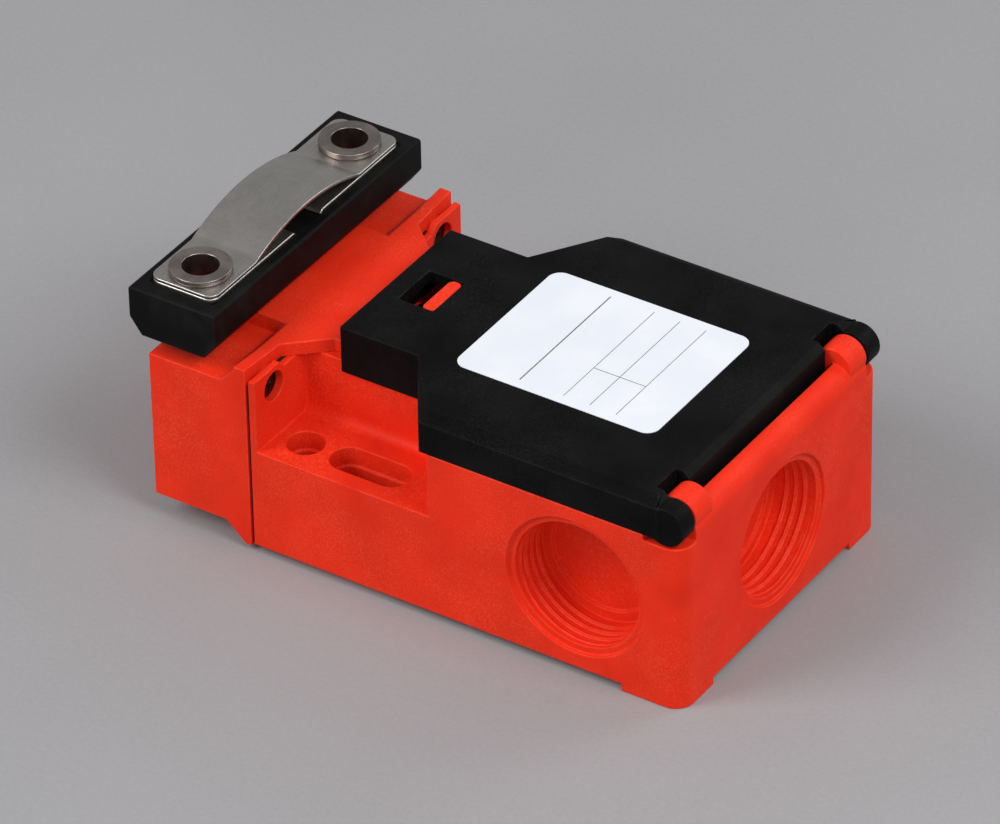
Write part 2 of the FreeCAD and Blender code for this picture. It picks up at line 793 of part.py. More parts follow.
def head_housing():
    """The head that takes the tongue: an angular box with a flange and a deck that reaches over the neck."""
    head = Moulding("head_housing")
    ramp_x = f"{head_face} - flange_top"
    side_view = [
        (head_end, "head_underside"),
        (f"{head_face} - toe_thickness - toe_ramp", "head_underside"),
        (f"{head_face} - toe_thickness", "head_toe"),
        (head_face, "head_toe"),
        (head_face, deck_top),
        (ramp_x, deck_top),
        (f"{ramp_x} - flange_ramp", "shoulder_top"),
        (head_end, "shoulder_top"),
    ]
    head.pad("XZ", f"-({half_width})", half_width, side_view)
    head.pad("XY", "shoulder_top", deck_top, across("plateau_width", head_end, ramp_x))
    head.fillet("plateau_corner", edge_at("z", x=head_end, y="plateau_width / 2"))
    deck = both_halves([
        (ramp_x, "deck_wide / 2"),
        (f"{head_face} - deck_taper_start", "deck_wide / 2"),
        (f"{head_face} + deck_taper_end", "deck_narrow / 2"),
        (deck_end, "deck_narrow / 2"),
    ])
    head.pad("XY", "wall_top", deck_top, deck)
    ear = [
        ("deck_wide / 2", deck_top),
        (half_width, deck_top),
        (half_width, f"{deck_top} + flange_ear"),
    ]
    head.pad("YZ", ramp_x, head_face, ear, swung(ear))

    cavity_start = f"{head_end} + head_end_wall"
    cavity = across("cavity_width", cavity_start, head_face)
    head.pocket("XY", "cavity_floor", cavity_top, cavity)
    slot_half = "(leg_width / 2 + tongue_slot_play)"
    slot = across("tongue_slot_width", f"{actuator_x} - {slot_half}", f"{actuator_x} + {slot_half}")
    head.pocket("XY", cavity_top, deck_top, slot)
    spigot_end = f"{head_face} + seam_gap - spigot_length"
    for side in ("", "-"):
        y = f"{side}head_screw_y"
        head.pocket("YZ", spigot_end, head_face, Round(y, "head_screw_z", "spigot_diameter"))
        screw_end = f"{spigot_end} + screw_seat - head_screw_length"
        head.pocket("YZ", screw_end, spigot_end, Round(y, "head_screw_z", "head_screw_shank"))


def head_gasket():
    """The flat rubber gasket in the seam between head and body."""
    gasket = Moulding("head_gasket")
    inset = "seam_gap"
    outline = box_outline(
        f"-({half_width} - {inset})",
        f"{half_width} - {inset}",
        "foot_height",
        "wall_top",
    )
    gasket.pad("YZ", head_face, seam_x, outline)
    gasket.pocket("YZ", head_face, seam_x, Round("0", "cam_height", "seal_diameter"))
    for side in ("", "-"):
        gasket.pocket("YZ", head_face, seam_x, Round(f"{side}head_screw_y", "head_screw_z", "spigot_diameter"))


def head_screws():
    """Two screws from the pockets through the body's spigots into the head."""
    screws = []
    for number, side in enumerate(("", "-"), start=1):
        name = f"head_screw_{number}"
        seat = f"{seam_x} - spigot_length + screw_seat"
        y = f"{side}head_screw_y"
        head = cylinder(name + "_head", "head_screw_head", "head_screw_head_height", seat, y, "head_screw_z")
        tip = f"{seat} - head_screw_length"
        shank = cylinder(name + "_shank", "head_screw_shank", "head_screw_length", tip, y, "head_screw_z")
        for solid in (head, shank):
            solid.Placement.Rotation = FreeCAD.Rotation(FreeCAD.Vector(0, 1, 0), 90)
        screws.append(joined(name, [head, shank]))
    group("head_screws", screws)


def cam_carrier():
    """The insert in the head: two cheeks that hold the cam shaft and a plate that guides the plunger."""
    carrier = Moulding("cam_carrier")
    inner = "cavity_width / 2 - carrier_cheek"
    outer = "cavity_width / 2"
    start = f"{head_face} - carrier_plate - carrier_length"
    outline = [
        (start, inner),
        (f"{head_face} - carrier_plate", inner),
        (f"{head_face} - carrier_plate", f"-({inner})"),
        (start, f"-({inner})"),
        (start, f"-({outer})"),
        (head_face, f"-({outer})"),
        (head_face, outer),
        (start, outer),
    ]
    carrier.pad("XY", "cavity_floor", cavity_top, outline)
    bore = Round(cam_x, "cam_height", "cam_bore + 2 * running_play")
    for side in (1, -1):
        carrier.pocket("XZ", *span(side, inner, outer), bore)
    guide = Round("0", "cam_height", "plunger_diameter + 2 * running_play")
    carrier.pocket("YZ", f"{head_face} - carrier_plate", head_face, guide)


def cam_shaft():
    """The round shaft that the three discs sit on."""
    shaft = Moulding("cam_shaft")
    shaft.pad("XZ", "-cavity_width / 2", "cavity_width / 2", Round(cam_x, "cam_height", "cam_bore"))


def cam_disc(name, start, thickness, outline):
    """One cam disc from its outline about the shaft, with the crossbar's notch and the shaft's bore."""
    face = Part.Face(Part.Wire(outline))
    disc = face.extrude(FreeCAD.Vector(0, 0, thickness))
    root = value("cam_offset - crossbar_diameter / 2 - notch_play")
    width = value("notch_width")
    lean = 180 - value("notch_lean") + math.degrees(math.atan2(value("crossbar_drop"), value("cam_offset")))
    notch = Part.makeBox(value("cam_diameter"), width, thickness, FreeCAD.Vector(root, -width / 2, 0))
    notch.rotate(FreeCAD.Vector(0, 0, 0), FreeCAD.Vector(0, 0, 1), lean)
    bore = Part.makeCylinder(value("cam_bore") / 2, thickness)
    feature = doc.addObject("Part::Feature", name)
    feature.Shape = disc.cut(notch).cut(bore)
    feature.Label = name
    # The disc is drawn in X and Z seen from -Y, so its thickness then runs towards -Y.
    upright = FreeCAD.Rotation(FreeCAD.Vector(1, 0, 0), 90)
    place = FreeCAD.Vector(value(cam_x), start + thickness, value("cam_height"))
    feature.Placement = FreeCAD.Placement(place, upright)
    pieces.append(feature)


def on_disc(radius, degrees):
    """A point of a disc's outline."""
    angle = math.radians(degrees)
    return FreeCAD.Vector(radius * math.cos(angle), radius * math.sin(angle), 0)


def rising_outline():
    """The middle disc: a spiral that pushes the plunger out evenly as the cam turns."""
    low = value(cam_low)
    high = value(cam_radius)
    turn = value("cam_turn")
    steps = 8
    spiral = Part.BSplineCurve()
    spiral.interpolate([on_disc(low + (high - low) * k / steps, turn * k / steps) for k in range(steps + 1)])
    fall_start = value("cam_fall_start")
    fall_end = value("cam_fall_end")
    crest = Part.Arc(on_disc(high, turn), on_disc(high, (turn + fall_start) / 2), on_disc(high, fall_start))
    fall = Part.LineSegment(on_disc(high, fall_start), on_disc(low, fall_end))
    dwell = Part.Arc(on_disc(low, fall_end), on_disc(low, (fall_end + 360) / 2), on_disc(low, 360))
    return [curve.toShape() for curve in (spiral, crest, fall, dwell)]


def coded_outline(code_angle):
    """A side disc: a full circle with one small flat step that codes it."""
    high = value(cam_radius)
    depth = value("code_notch")
    step = value("code_step")
    rim = Part.Arc(
        on_disc(high, code_angle + step),
        on_disc(high, code_angle + 180 + step / 2),
        on_disc(high, code_angle + 360),
    )
    inner_start = on_disc(high - depth, code_angle)
    inner_end = on_disc(high - depth, code_angle + step)
    sides = [
        Part.LineSegment(on_disc(high, code_angle), inner_start),
        Part.LineSegment(inner_start, inner_end),
        Part.LineSegment(inner_end, on_disc(high, code_angle + step)),
    ]
    return [curve.toShape() for curve in [rim] + sides]


def cam_discs():
    """The middle disc and the two coded ones beside it."""
    middle = value("centre_disc")
    side = value("side_disc")
    gap = value("disc_gap")
    cam_disc("cam_disc_centre", -middle / 2, middle, rising_outline())
    cam_disc("cam_disc_left", -middle / 2 - gap - side, side, coded_outline(value("code_angle_left")))
    cam_disc("cam_disc_right", middle / 2 + gap, side, coded_outline(value("code_angle_right")))


def plunger():
    """The round plunger, domed at its tip and flattened there to pass between the side discs."""
    rod = Moulding("plunger")
    radius = "plunger_diameter / 2"
    length = f"(carrier_start - ({plunger_tip}))"
    rod.pad("XY", "0", length, Round("0", "0", "plunger_diameter"))

    def tip(edge):
        return isinstance(edge.Curve, Part.Circle) and abs(edge.CenterOfMass.z) < 1e-6
    rod.fillet(f"{radius} - running_play", tip)
    flat = box_outline(f"-{radius} - {PAST}", f"{radius} + {PAST}", "plunger_blade / 2", f"{radius} + {PAST}")
    rod.pocket("XY", f"-{PAST}", "plunger_travel + blade_gap", flat, flipped(flat))
    rod.place(plunger_tip, "0", "cam_height", FreeCAD.Vector(0, 1, 0), 90)


def plunger_seal():
    """The rubber ring round the plunger in the body's end wall."""
    seal = Moulding("plunger_seal")
    outer = Round("0", "cam_height", "seal_diameter")
    inner = Round("0", "cam_height", "plunger_diameter + 2 * running_play")
    seal.pad("YZ", seam_x, f"{seam_x} + seal_depth", outer, inner)


# ---------------------------------------------------------------- actuator

def actuator_block():
    """The bar that carries tongue and bow, with its lower long edges bevelled."""
    bar = Moulding("actuator_block")
    left = f"{actuator_x} - actuator_width / 2"
    right = f"{actuator_x} + actuator_width / 2"
    section = [
        (f"{left} + block_bevel_width", actuator_bottom),
        (f"{right} - block_bevel_width", actuator_bottom),
        (right, f"{actuator_bottom} + block_bevel_height"),
        (right, actuator_top),
        (left, actuator_top),
        (left, f"{actuator_bottom} + block_bevel_height"),
    ]
    bar.pad("XZ", f"-({half_width})", half_width, section)
    edges = [edge_at("y", x=x, z=actuator_top) for x in (left, right)]
    bar.fillet("strip_recess", any_of(*edges))
    half_strip = "strip_width / 2"
    recess = across(f"2 * {strip_end}", f"{actuator_x} - {half_strip}", f"{actuator_x} + {half_strip}")
    bar.pocket("XY", strip_bottom, actuator_top, recess)
    leg_slot = box_outline(
        f"{actuator_x} - leg_width / 2",
        f"{actuator_x} + leg_width / 2",
        "leg_spread / 2 - leg_thickness",
        "leg_spread / 2",
    )
    bar.pocket("XY", actuator_bottom, strip_bottom, leg_slot, flipped(leg_slot))
    bores = [Round(actuator_x, f"{side}{bush_y}", "bush_diameter") for side in ("", "-")]
    bar.pocket("XY", actuator_bottom, strip_bottom, *bores)


def strip_feet(strip, bottom, top, inner):
    """The two flat ends of a strip, rounded at their outer corners and bored for the bushes."""
    foot = box_outline(
        f"{actuator_x} - strip_width / 2",
        f"{actuator_x} + strip_width / 2",
        inner,
        strip_end,
    )
    strip.pad("XY", bottom, top, foot, flipped(foot))


def strip_finish(strip, bottom, top):
    """Round the outer corners of both feet and bore them for the bushes."""
    corners = [edge_at("z", x=f"{actuator_x} {sign} strip_width / 2", y=strip_end) for sign in "+-"]
    strip.fillet("strip_corner", any_of(*corners))
    bores = [Round(actuator_x, f"{side}{bush_y}", "bush_diameter") for side in ("", "-")]
    strip.pocket("XY", bottom, top, *bores)


def actuator_tongue():
    """The bent steel strip: two feet, two legs down into the head and the crossbar that turns the cam."""
    tongue = Moulding("actuator_tongue")
    inner = "leg_spread / 2 - leg_thickness"
    leg_bottom = f"{crossbar_z} - leg_end"
    leg = box_outline(
        f"{actuator_x} - leg_width / 2",
        f"{actuator_x} + leg_width / 2",
        leg_bottom,
        bow_bottom,
    )
    crossbar = Round(actuator_x, crossbar_z, "crossbar_diameter")
    tongue.pad("XZ", f"-({inner})", inner, crossbar)
    for side in (1, -1):
        tongue.pad("XZ", *span(side, inner, "leg_spread / 2"), leg)
    strip_feet(tongue, strip_bottom, bow_bottom, inner)
    bends = edge_at("x", y=inner, z=bow_bottom)
    tongue.fillet("tongue_thickness - running_play", bends)
    tips = [edge_at("y", x=f"{actuator_x} {sign} leg_width / 2", z=leg_bottom) for sign in "+-"]
    tongue.fillet("leg_end", any_of(*tips))
    strip_finish(tongue, strip_bottom, bow_bottom)


def actuator_bow():
    """The thin strip that lies on the tongue and arches over the middle of the bar."""
    bow = Moulding("actuator_bow")
    left = f"{actuator_x} - strip_width / 2"
    right = f"{actuator_x} + strip_width / 2"
    radius = "((bow_chord * bow_chord / 4 + bow_rise * bow_rise) / (2 * bow_rise))"
    centre = f"{bow_top} + bow_rise - {radius}"
    outer = Round("0", centre, f"2 * {radius}")
    inner = Round("0", centre, f"2 * ({radius} - bow_thickness)")
    bow.pad("YZ", left, right, outer, inner)
    reach = f"({radius} + {PAST})"
    below = box_outline(f"-{reach}", reach, f"{centre} - {reach}", bow_bottom)
    bow.pocket("YZ", f"{left} - {PAST}", f"{right} + {PAST}", below)
    strip_feet(bow, bow_bottom, bow_top, "bow_chord / 2 - bow_thickness / 2")
    strip_finish(bow, bow_bottom, bow_top)


def actuator_bushes():
    """The flanged steel bushes that clamp both strips to the bar, one node each side."""
    for name, side in (("actuator_bush_left", "-"), ("actuator_bush_right", "")):
        bush = Moulding(name)
        flange_top = f"{bow_top} + bush_flange_thickness"
        profile = [
            ("bush_bore / 2", f"{actuator_bottom} + strip_recess"),
            ("bush_diameter / 2", f"{actuator_bottom} + strip_recess"),
            ("bush_diameter / 2", bow_top),
            ("bush_flange / 2", bow_top),
            ("bush_flange / 2", flange_top),
            ("bush_bore / 2", flange_top),
        ]
        bush.revolve(profile)
        bush.place(actuator_x, f"{side}{bush_y}", "0")


# ---------------------------------------------------------------- contact block

screws_x = ("upper_screw_x", "lower_screw_x")


def contact_block():
    """The block's base: an open room for the contacts and two terraces for the terminals."""
    base = Moulding("contact_block")
    base.pad("XY", floor_z, base_top, across("block_width", block_start, "block_end"))
    room = across(f"2 * {room_half}", room_start, "room_end")
    base.pocket("XY", f"{floor_z} + block_floor", base_top, room)
    terrace = across("block_width", "room_end", "upper_terrace_end")
    base.pad("XY", base_top, upper_top, terrace)
    for side in (1, -1):
        no_strip = span(side, "no_strip_y - strip_metal", "no_strip_y")
        groove = box_outline(*no_strip, "no_level - bridge_height / 2", upper_top)
        base.pocket("YZ", "room_end", "room_end + terminal_plate / 2", groove)
        nc_strip = span(side, "nc_strip_y - strip_metal", "nc_strip_y")
        groove = box_outline(*nc_strip, "nc_level - bridge_height / 2", upper_top)
        base.pocket("YZ", "room_end", "upper_terrace_end", groove)
        groove = box_outline(*nc_strip, "nc_level - bridge_height / 2", base_top)
        base.pocket("YZ", "upper_terrace_end", "upper_terrace_end + rail_overlap", groove)
    for x in screws_x:
        socket = Round(x, "0", "boss_diameter + 2 * boss_play")
        base.pocket("XY", floor_z, f"{floor_z} + boss_height", socket)
        hole = Round(x, "0", "block_screw_shank + 2 * boss_play")
        top = upper_top if x == "upper_screw_x" else base_top
        base.pocket("XY", f"{floor_z} + boss_height", top, hole)
    for x, y, top in terminal_places():
        hole = Round(x, y, "terminal_screw_shank")
        depth = "terminal_screw_length - washer_thickness - plate_metal"
        base.pocket("XY", f"{top} - ({depth})", top, hole)


def terminal_places():
    """Where the four terminal screws stand: X, Y and the terrace below."""
    upper_y = "no_strip_y - terminal_plate / 2"
    lower_y = "nc_strip_y - terminal_plate / 2"
    return [
        ("upper_screw_x", upper_y, upper_top),
        ("upper_screw_x", f"-({upper_y})", upper_top),
        ("lower_screw_x", lower_y, base_top),
        ("lower_screw_x", f"-({lower_y})", base_top),
    ]


def contact_block_lid():
    """The lid over the contact room, open at the foot of its head wall for the plunger."""
    lid = Moulding("contact_block_lid")
    end = "room_end + block_wall"
    lid_top = f"{base_top} + lid_height"
    lid.pad("XY", base_top, lid_top, across("block_width", block_start, end))
    lid.pocket("XY", base_top, f"{lid_top} - block_wall", across(f"2 * {room_half}", room_start, "room_end"))
    lid.pocket("XY", base_top, f"{upper_top} + plate_metal", across("block_width", "room_end", end))
    gate_half = "(plunger_diameter / 2 + window_play)"
    gate = box_outline(f"-{gate_half}", gate_half, base_top, f"cam_height + {gate_half}")
    lid.pocket("YZ", block_start, room_start, gate)


def contact_carrier():
    """The slide that the plunger pushes, with a window for each contact bridge."""
    slide = Moulding("contact_carrier")
    start = "carrier_start"
    end = "carrier_start + carrier_body"
    section = box_outline("-carrier_width / 2", "carrier_width / 2", "carrier_bottom", "carrier_top")
    slide.pad("YZ", start, end, section)
    window_half = "(bridge_height / 2 + window_play)"
    for level in ("nc_level", "no_level"):
        bottom, top = f"{level} - {window_half}", f"{level} + {window_half}"
        window = box_outline(window_start_x, window_end_x, bottom, top)
        slide.pocket("XZ", "-carrier_width / 2", "carrier_width / 2", window)


def bridges():
    """The two contact bridges: one held closed at rest, the other a travel away from its contacts."""
    nc_end = "nc_bridge_x + bridge_thickness"
    no_start = f"{window_end_x} - bridge_thickness"
    for name, low, high, level in (
        ("nc_bridge", "nc_bridge_x", nc_end, "nc_level"),
        ("no_bridge", no_start, window_end_x, "no_level"),
    ):
        bridge = Moulding(name)
        plate = box_outline(low, high, f"{level} - bridge_height / 2", f"{level} + bridge_height / 2")
        bridge.pad("XZ", "-bridge_length / 2", "bridge_length / 2", plate)


def terminals():
    """Four bent strips, each from its contact finger along the block to the plate under a screw."""
    half = "bridge_height / 2"
    for letter, side in (("a", -1), ("b", 1)):
        closed = Moulding(f"terminal_nc_{letter}")
        start = f"{nc_contact_x} - strip_metal"
        bottom, top = f"nc_level - {half}", f"nc_level + {half}"
        finger = box_outline(start, nc_contact_x, bottom, top)
        closed.pad("XZ", *span(side, "finger_tip", "nc_strip_y"), finger)
        rail = box_outline(start, "upper_terrace_end + rail_overlap", bottom, top)
        closed.pad("XZ", *span(side, "nc_strip_y - strip_metal", "nc_strip_y"), rail)
        across_plate = span(side, "nc_strip_y - terminal_plate", "nc_strip_y")
        plate_top = f"{base_top} + plate_metal"
        closed.pad("XY", base_top, plate_top, box_outline("upper_terrace_end", "block_end", *across_plate))
        closed.pocket("XY", base_top, plate_top, screw_hole("lower_screw_x", side, "nc_strip_y"))

        opened = Moulding(f"terminal_no_{letter}")
        bottom, top = f"no_level - {half}", f"no_level + {half}"
        finger = box_outline(no_contact_x, f"{no_contact_x} + strip_metal", bottom, top)
        opened.pad("XZ", *span(side, "finger_tip", "no_strip_y"), finger)
        plate_top = f"{upper_top} + plate_metal"
        rail = box_outline(no_contact_x, "room_end + terminal_plate / 2", bottom, plate_top)
        opened.pad("XZ", *span(side, "no_strip_y - strip_metal", "no_strip_y"), rail)
        across_plate = span(side, "no_strip_y - terminal_plate", "no_strip_y")
        plate = box_outline("room_end + block_wall", "upper_terrace_end - cover_gap", *across_plate)
        opened.pad("XY", upper_top, plate_top, plate)
        opened.pocket("XY", upper_top, plate_top, screw_hole("upper_screw_x", side, "no_strip_y"))


def screw_hole(x, side, strip_y):
    """The hole that a terminal screw passes in its plate."""
    sign = "" if side > 0 else "-"
    return Round(x, f"{sign}({strip_y} - terminal_plate / 2)", "terminal_screw_shank")


def terminal_fasteners():
    """Screws and square clamp washers on the four terminals, and the two screws that hold the block."""
    screws = []
    washers = []
    for number, (x, y, top) in enumerate(terminal_places(), start=1):
        washer_bottom = f"{top} + plate_metal"
        seat = f"{washer_bottom} + washer_thickness"
        half = "washer_side / 2"
        name = f"terminal_screw_{number}"
        head = cylinder(name + "_head", "terminal_screw_head", "terminal_screw_head_height", x, y, seat)
        tip = f"{seat} - terminal_screw_length"
        shank = cylinder(name + "_shank", "terminal_screw_shank", "terminal_screw_length", x, y, tip)
        screws.append(joined(name, [head, shank]))
        plate = block(
            f"washer_{number}_plate",
            (f"{x} - {half}", f"{x} + {half}"),
            (f"{y} - {half}", f"{y} + {half}"),
            (washer_bottom, seat),
        )
        hole_name = f"washer_{number}_hole"
        hole = cylinder(hole_name, "terminal_screw_shank", "washer_thickness", x, y, washer_bottom)
        washer = doc.addObject("Part::Cut", f"washer_{number}")
        washer.Base = plate
        washer.Tool = hole
        washers.append(washer)
    group("terminal_screws", screws)
    group("clamp_washers", washers)

    holders = []
    for x, top in zip(screws_x, (upper_top, base_top)):
        head = cylinder(x + "_head", "block_screw_head", "block_screw_head_height", x, "0", top)
        tip = "foot_height + seam_wall"
        shank = cylinder(x + "_shank", "block_screw_shank", f"{top} - ({tip})", x, "0", tip)
        holders.append(joined(x + "_screw", [head, shank]))
    group("block_screws", holders)


def spring(name, diameter, wire, turns, start, end, level):
    """A coil spring along X between two faces."""
    coil = Moulding(name)
    sketch = coil.sketch("XZ", "0", [Round(f"({diameter} - {wire}) / 2", "0", wire)])
    helix = coil.body.newObject("PartDesign::AdditiveHelix", name + "_coil")
    helix.Profile = sketch
    helix.ReferenceAxis = (coil.origin("Z_Axis"), [""])
    helix.Mode = "height-turns-angle"
    helix.setExpression("Height", bound(f"({end}) - ({start}) - {wire}"))
    helix.setExpression("Turns", bound(turns))
    coil.place(f"{start} + {wire} / 2", "0", level, FreeCAD.Vector(0, 1, 0), 90)


def springs():
    """The spring behind each bridge, and the one that pushes the slide and plunger back to the cam."""
    contact = ("contact_spring_diameter", "contact_spring_wire", "contact_spring_turns")
    spring("nc_contact_spring", *contact, "nc_bridge_x + bridge_thickness", window_end_x, "nc_level")
    spring("no_contact_spring", *contact, window_start_x, f"{window_end_x} - bridge_thickness", "no_level")
    back = ("return_spring_diameter", "return_spring_wire", "return_spring_turns")
    spring("return_spring", *back, "carrier_start + carrier_body", "room_end", "return_spring_level")


# ---------------------------------------------------------------- the whole switch

body_housing()
cover()
cover_gasket()
type_label()
head_housing()
head_gasket()
head_screws()
cam_carrier()
cam_shaft()
cam_discs()
plunger()
plunger_seal()
actuator_block()
actuator_tongue()
actuator_bow()
actuator_bushes()
contact_block()
contact_block_lid()
contact_carrier()
bridges()
terminals()
terminal_fasteners()
springs()
doc.recompute()

faults = []
for item in doc.Objects:
    if "Invalid" in item.State or "Error" in item.State:
        faults.append(f"{item.Name}: {item.State}")
    if item.TypeId == "PartDesign::Pocket" and item.BaseFeature:
        removed = item.BaseFeature.Shape.Volume - item.Shape.Volume
        if removed < 1e-6:
            faults.append(f"{item.Name}: cuts nothing")
for piece in pieces:
    if piece.Shape.isNull() or not piece.Shape.isValid():
        faults.append(f"{piece.Label}: no valid shape")
if faults:
    raise RuntimeError("; ".join(faults))

os.makedirs("parts", exist_ok=True)
for piece in pieces:
    piece.Shape.exportStep(f"parts/{piece.Label}.step")
    box = piece.Shape.BoundBox
    print(
        f"{piece.Label:22s} {len(piece.Shape.Solids)} solid(s) {piece.Shape.Volume:9.1f} mm3 "
        f"x {box.XMin:7.2f} {box.XMax:7.2f}  y {box.YMin:7.2f} {box.YMax:7.2f}  z {box.ZMin:6.2f} {box.ZMax:6.2f}"
    )
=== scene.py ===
# %% [markdown]
# A tongue interlock switch guards a machine's door. A steel tongue on the door enters the switch's head and
# turns a cam, and the cam works the contacts in the orange body. The solids come from a CAD model, which
# fixes every size and place. This script gives them moulded edges, threads and surfaces that look real.

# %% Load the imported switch
import json
import math

import bpy
from mathutils import Matrix, Vector

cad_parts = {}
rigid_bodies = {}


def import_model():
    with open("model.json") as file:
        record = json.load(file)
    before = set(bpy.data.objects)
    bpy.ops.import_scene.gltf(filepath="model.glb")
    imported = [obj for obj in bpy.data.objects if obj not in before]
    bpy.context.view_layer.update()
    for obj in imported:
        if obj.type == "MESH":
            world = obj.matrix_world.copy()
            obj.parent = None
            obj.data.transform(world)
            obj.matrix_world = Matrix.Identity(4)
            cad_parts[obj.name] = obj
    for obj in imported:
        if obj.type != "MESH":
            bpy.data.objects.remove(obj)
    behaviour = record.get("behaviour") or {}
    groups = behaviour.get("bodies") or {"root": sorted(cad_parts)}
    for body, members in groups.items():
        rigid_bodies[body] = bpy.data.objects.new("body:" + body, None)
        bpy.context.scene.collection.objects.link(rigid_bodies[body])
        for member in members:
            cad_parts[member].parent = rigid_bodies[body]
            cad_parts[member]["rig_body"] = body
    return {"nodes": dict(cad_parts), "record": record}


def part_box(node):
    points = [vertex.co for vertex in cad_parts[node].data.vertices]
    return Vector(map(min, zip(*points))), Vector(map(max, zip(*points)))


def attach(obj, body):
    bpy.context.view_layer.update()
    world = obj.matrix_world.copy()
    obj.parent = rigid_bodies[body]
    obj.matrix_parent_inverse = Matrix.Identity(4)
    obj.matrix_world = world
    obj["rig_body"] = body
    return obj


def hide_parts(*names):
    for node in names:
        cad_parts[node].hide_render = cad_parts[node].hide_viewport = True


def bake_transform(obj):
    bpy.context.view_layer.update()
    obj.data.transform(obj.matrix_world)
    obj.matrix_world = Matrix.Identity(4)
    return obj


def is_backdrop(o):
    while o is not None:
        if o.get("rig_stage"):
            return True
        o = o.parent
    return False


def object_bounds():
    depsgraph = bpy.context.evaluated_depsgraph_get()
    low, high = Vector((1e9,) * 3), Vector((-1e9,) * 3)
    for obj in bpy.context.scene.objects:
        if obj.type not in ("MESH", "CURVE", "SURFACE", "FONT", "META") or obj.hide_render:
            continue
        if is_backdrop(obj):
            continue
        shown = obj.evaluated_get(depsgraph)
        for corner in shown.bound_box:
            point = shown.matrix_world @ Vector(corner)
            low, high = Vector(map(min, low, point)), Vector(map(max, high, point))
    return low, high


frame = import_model()
cad_low, cad_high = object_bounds()
nodes = frame["nodes"]
record = frame["record"]
MM = 0.001
print("switch measures", [round(side / MM, 2) for side in cad_high - cad_low], "mm")

# %% [markdown]
# Every finish below is a small tree of shader nodes. Wiring nodes by hand is long, so two classes do it: a
# Wire is one output, and sums on wires add Math nodes, while a Finish is a material whose method `node` adds
# any other node. Patterns read Object coordinates, which are the switch's own metres, so a grain of 0.3 mm
# is as fine on the cover as it is on the head.

# %% Wires and finishes
class Wire:
    """One output of a node, with arithmetic."""

    def __init__(self, finish, socket):
        self.finish = finish
        self.socket = socket

    def __add__(self, other):
        return self.finish.math("ADD", self, other)

    def __sub__(self, other):
        return self.finish.math("SUBTRACT", self, other)

    def __rsub__(self, other):
        return self.finish.math("SUBTRACT", other, self)

    def __mul__(self, other):
        return self.finish.math("MULTIPLY", self, other)

    __radd__ = __add__
    __rmul__ = __mul__


class Finish:
    """A material whose nodes are added one call at a time."""

    def __init__(self, name):
        self.material = bpy.data.materials.new(name)
        self.material.use_nodes = True
        self.tree = self.material.node_tree
        self.tree.nodes.clear()
        self.place = self.node("ShaderNodeTexCoord", output="Object")

    def node(self, kind, settings=None, inputs=None, output=0):
        """A node of one kind: its settings first, then the values or wires of its sockets."""
        made = self.tree.nodes.new(kind)
        for key, setting in (settings or {}).items():
            setattr(made, key, setting)
        for key, given in (inputs or {}).items():
            if isinstance(given, Wire):
                self.tree.links.new(given.socket, made.inputs[key])
            else:
                made.inputs[key].default_value = given
        return Wire(self, made.outputs[output]) if made.outputs else None

    def math(self, operation, first, second, third=0.0):
        inputs = {0: first, 1: second, 2: third}
        return self.node("ShaderNodeMath", {"operation": operation}, inputs)

    def blend(self, factor, first, second):
        """One colour over another."""
        inputs = {0: factor, 6: first, 7: second}
        return self.node("ShaderNodeMix", {"data_type": "RGBA"}, inputs, output=2)

    def grain(self, size, detail=3.0, stretch=(1, 1, 1), roughness=0.5):
        """Cloudy noise whose spots are about `size` metres across, drawn out along an axis by `stretch`."""
        scale = [1 / along for along in stretch]
        placed = {"Vector": self.place, "Scale": scale}
        spread = self.node("ShaderNodeMapping", {"vector_type": "POINT"}, placed)
        inputs = {"Vector": spread, "Scale": 1 / size, "Detail": detail, "Roughness": roughness}
        return self.node("ShaderNodeTexNoise", {}, inputs)

    def cut(self, wire, low, high):
        """0 below low, 1 above high, and a smooth step between them."""
        return self.node("ShaderNodeMapRange", {"interpolation_type": "SMOOTHSTEP"},
                         {"Value": wire, "From Min": low, "From Max": high})

    def edges(self, radius):
        """1 along outer and inner edges, 0 on open faces."""
        rounded = self.node("ShaderNodeBevel", {"samples": 4}, {"Radius": radius})
        flat = self.node("ShaderNodeNewGeometry", output="Normal")
        both = {0: rounded, 1: flat}
        likeness = self.node("ShaderNodeVectorMath", {"operation": "DOT_PRODUCT"}, both, "Value")
        return self.cut(1 - likeness, 0.01, 0.14)

    def relief(self, height, depth):
        """A normal that follows a height of `depth` metres."""
        return self.node("ShaderNodeBump", {}, {"Height": height, "Distance": depth})

    def surface(self, **sockets):
        """The Principled shader that ends the tree."""
        named = {key.replace("_", " "): given for key, given in sockets.items()}
        shader = self.node("ShaderNodeBsdfPrincipled", {}, named)
        self.node("ShaderNodeOutputMaterial", {}, {"Surface": shader})
        return self.material


# %% [markdown]
# The housing is glass-filled nylon in a signal red-orange. A moulded face is never one flat colour: the melt
# leaves soft clouds, the tool's spark-eroded texture scatters light and holds pale dust, handling leaves
# scuffs, and edges rub lighter, which here is also a painted highlight along the rounds. Each of those is one
# mask, and the masks mix colours and move the roughness.

# %% Moulded plastics
TEXTURE_DEPTH = 0.014 * MM


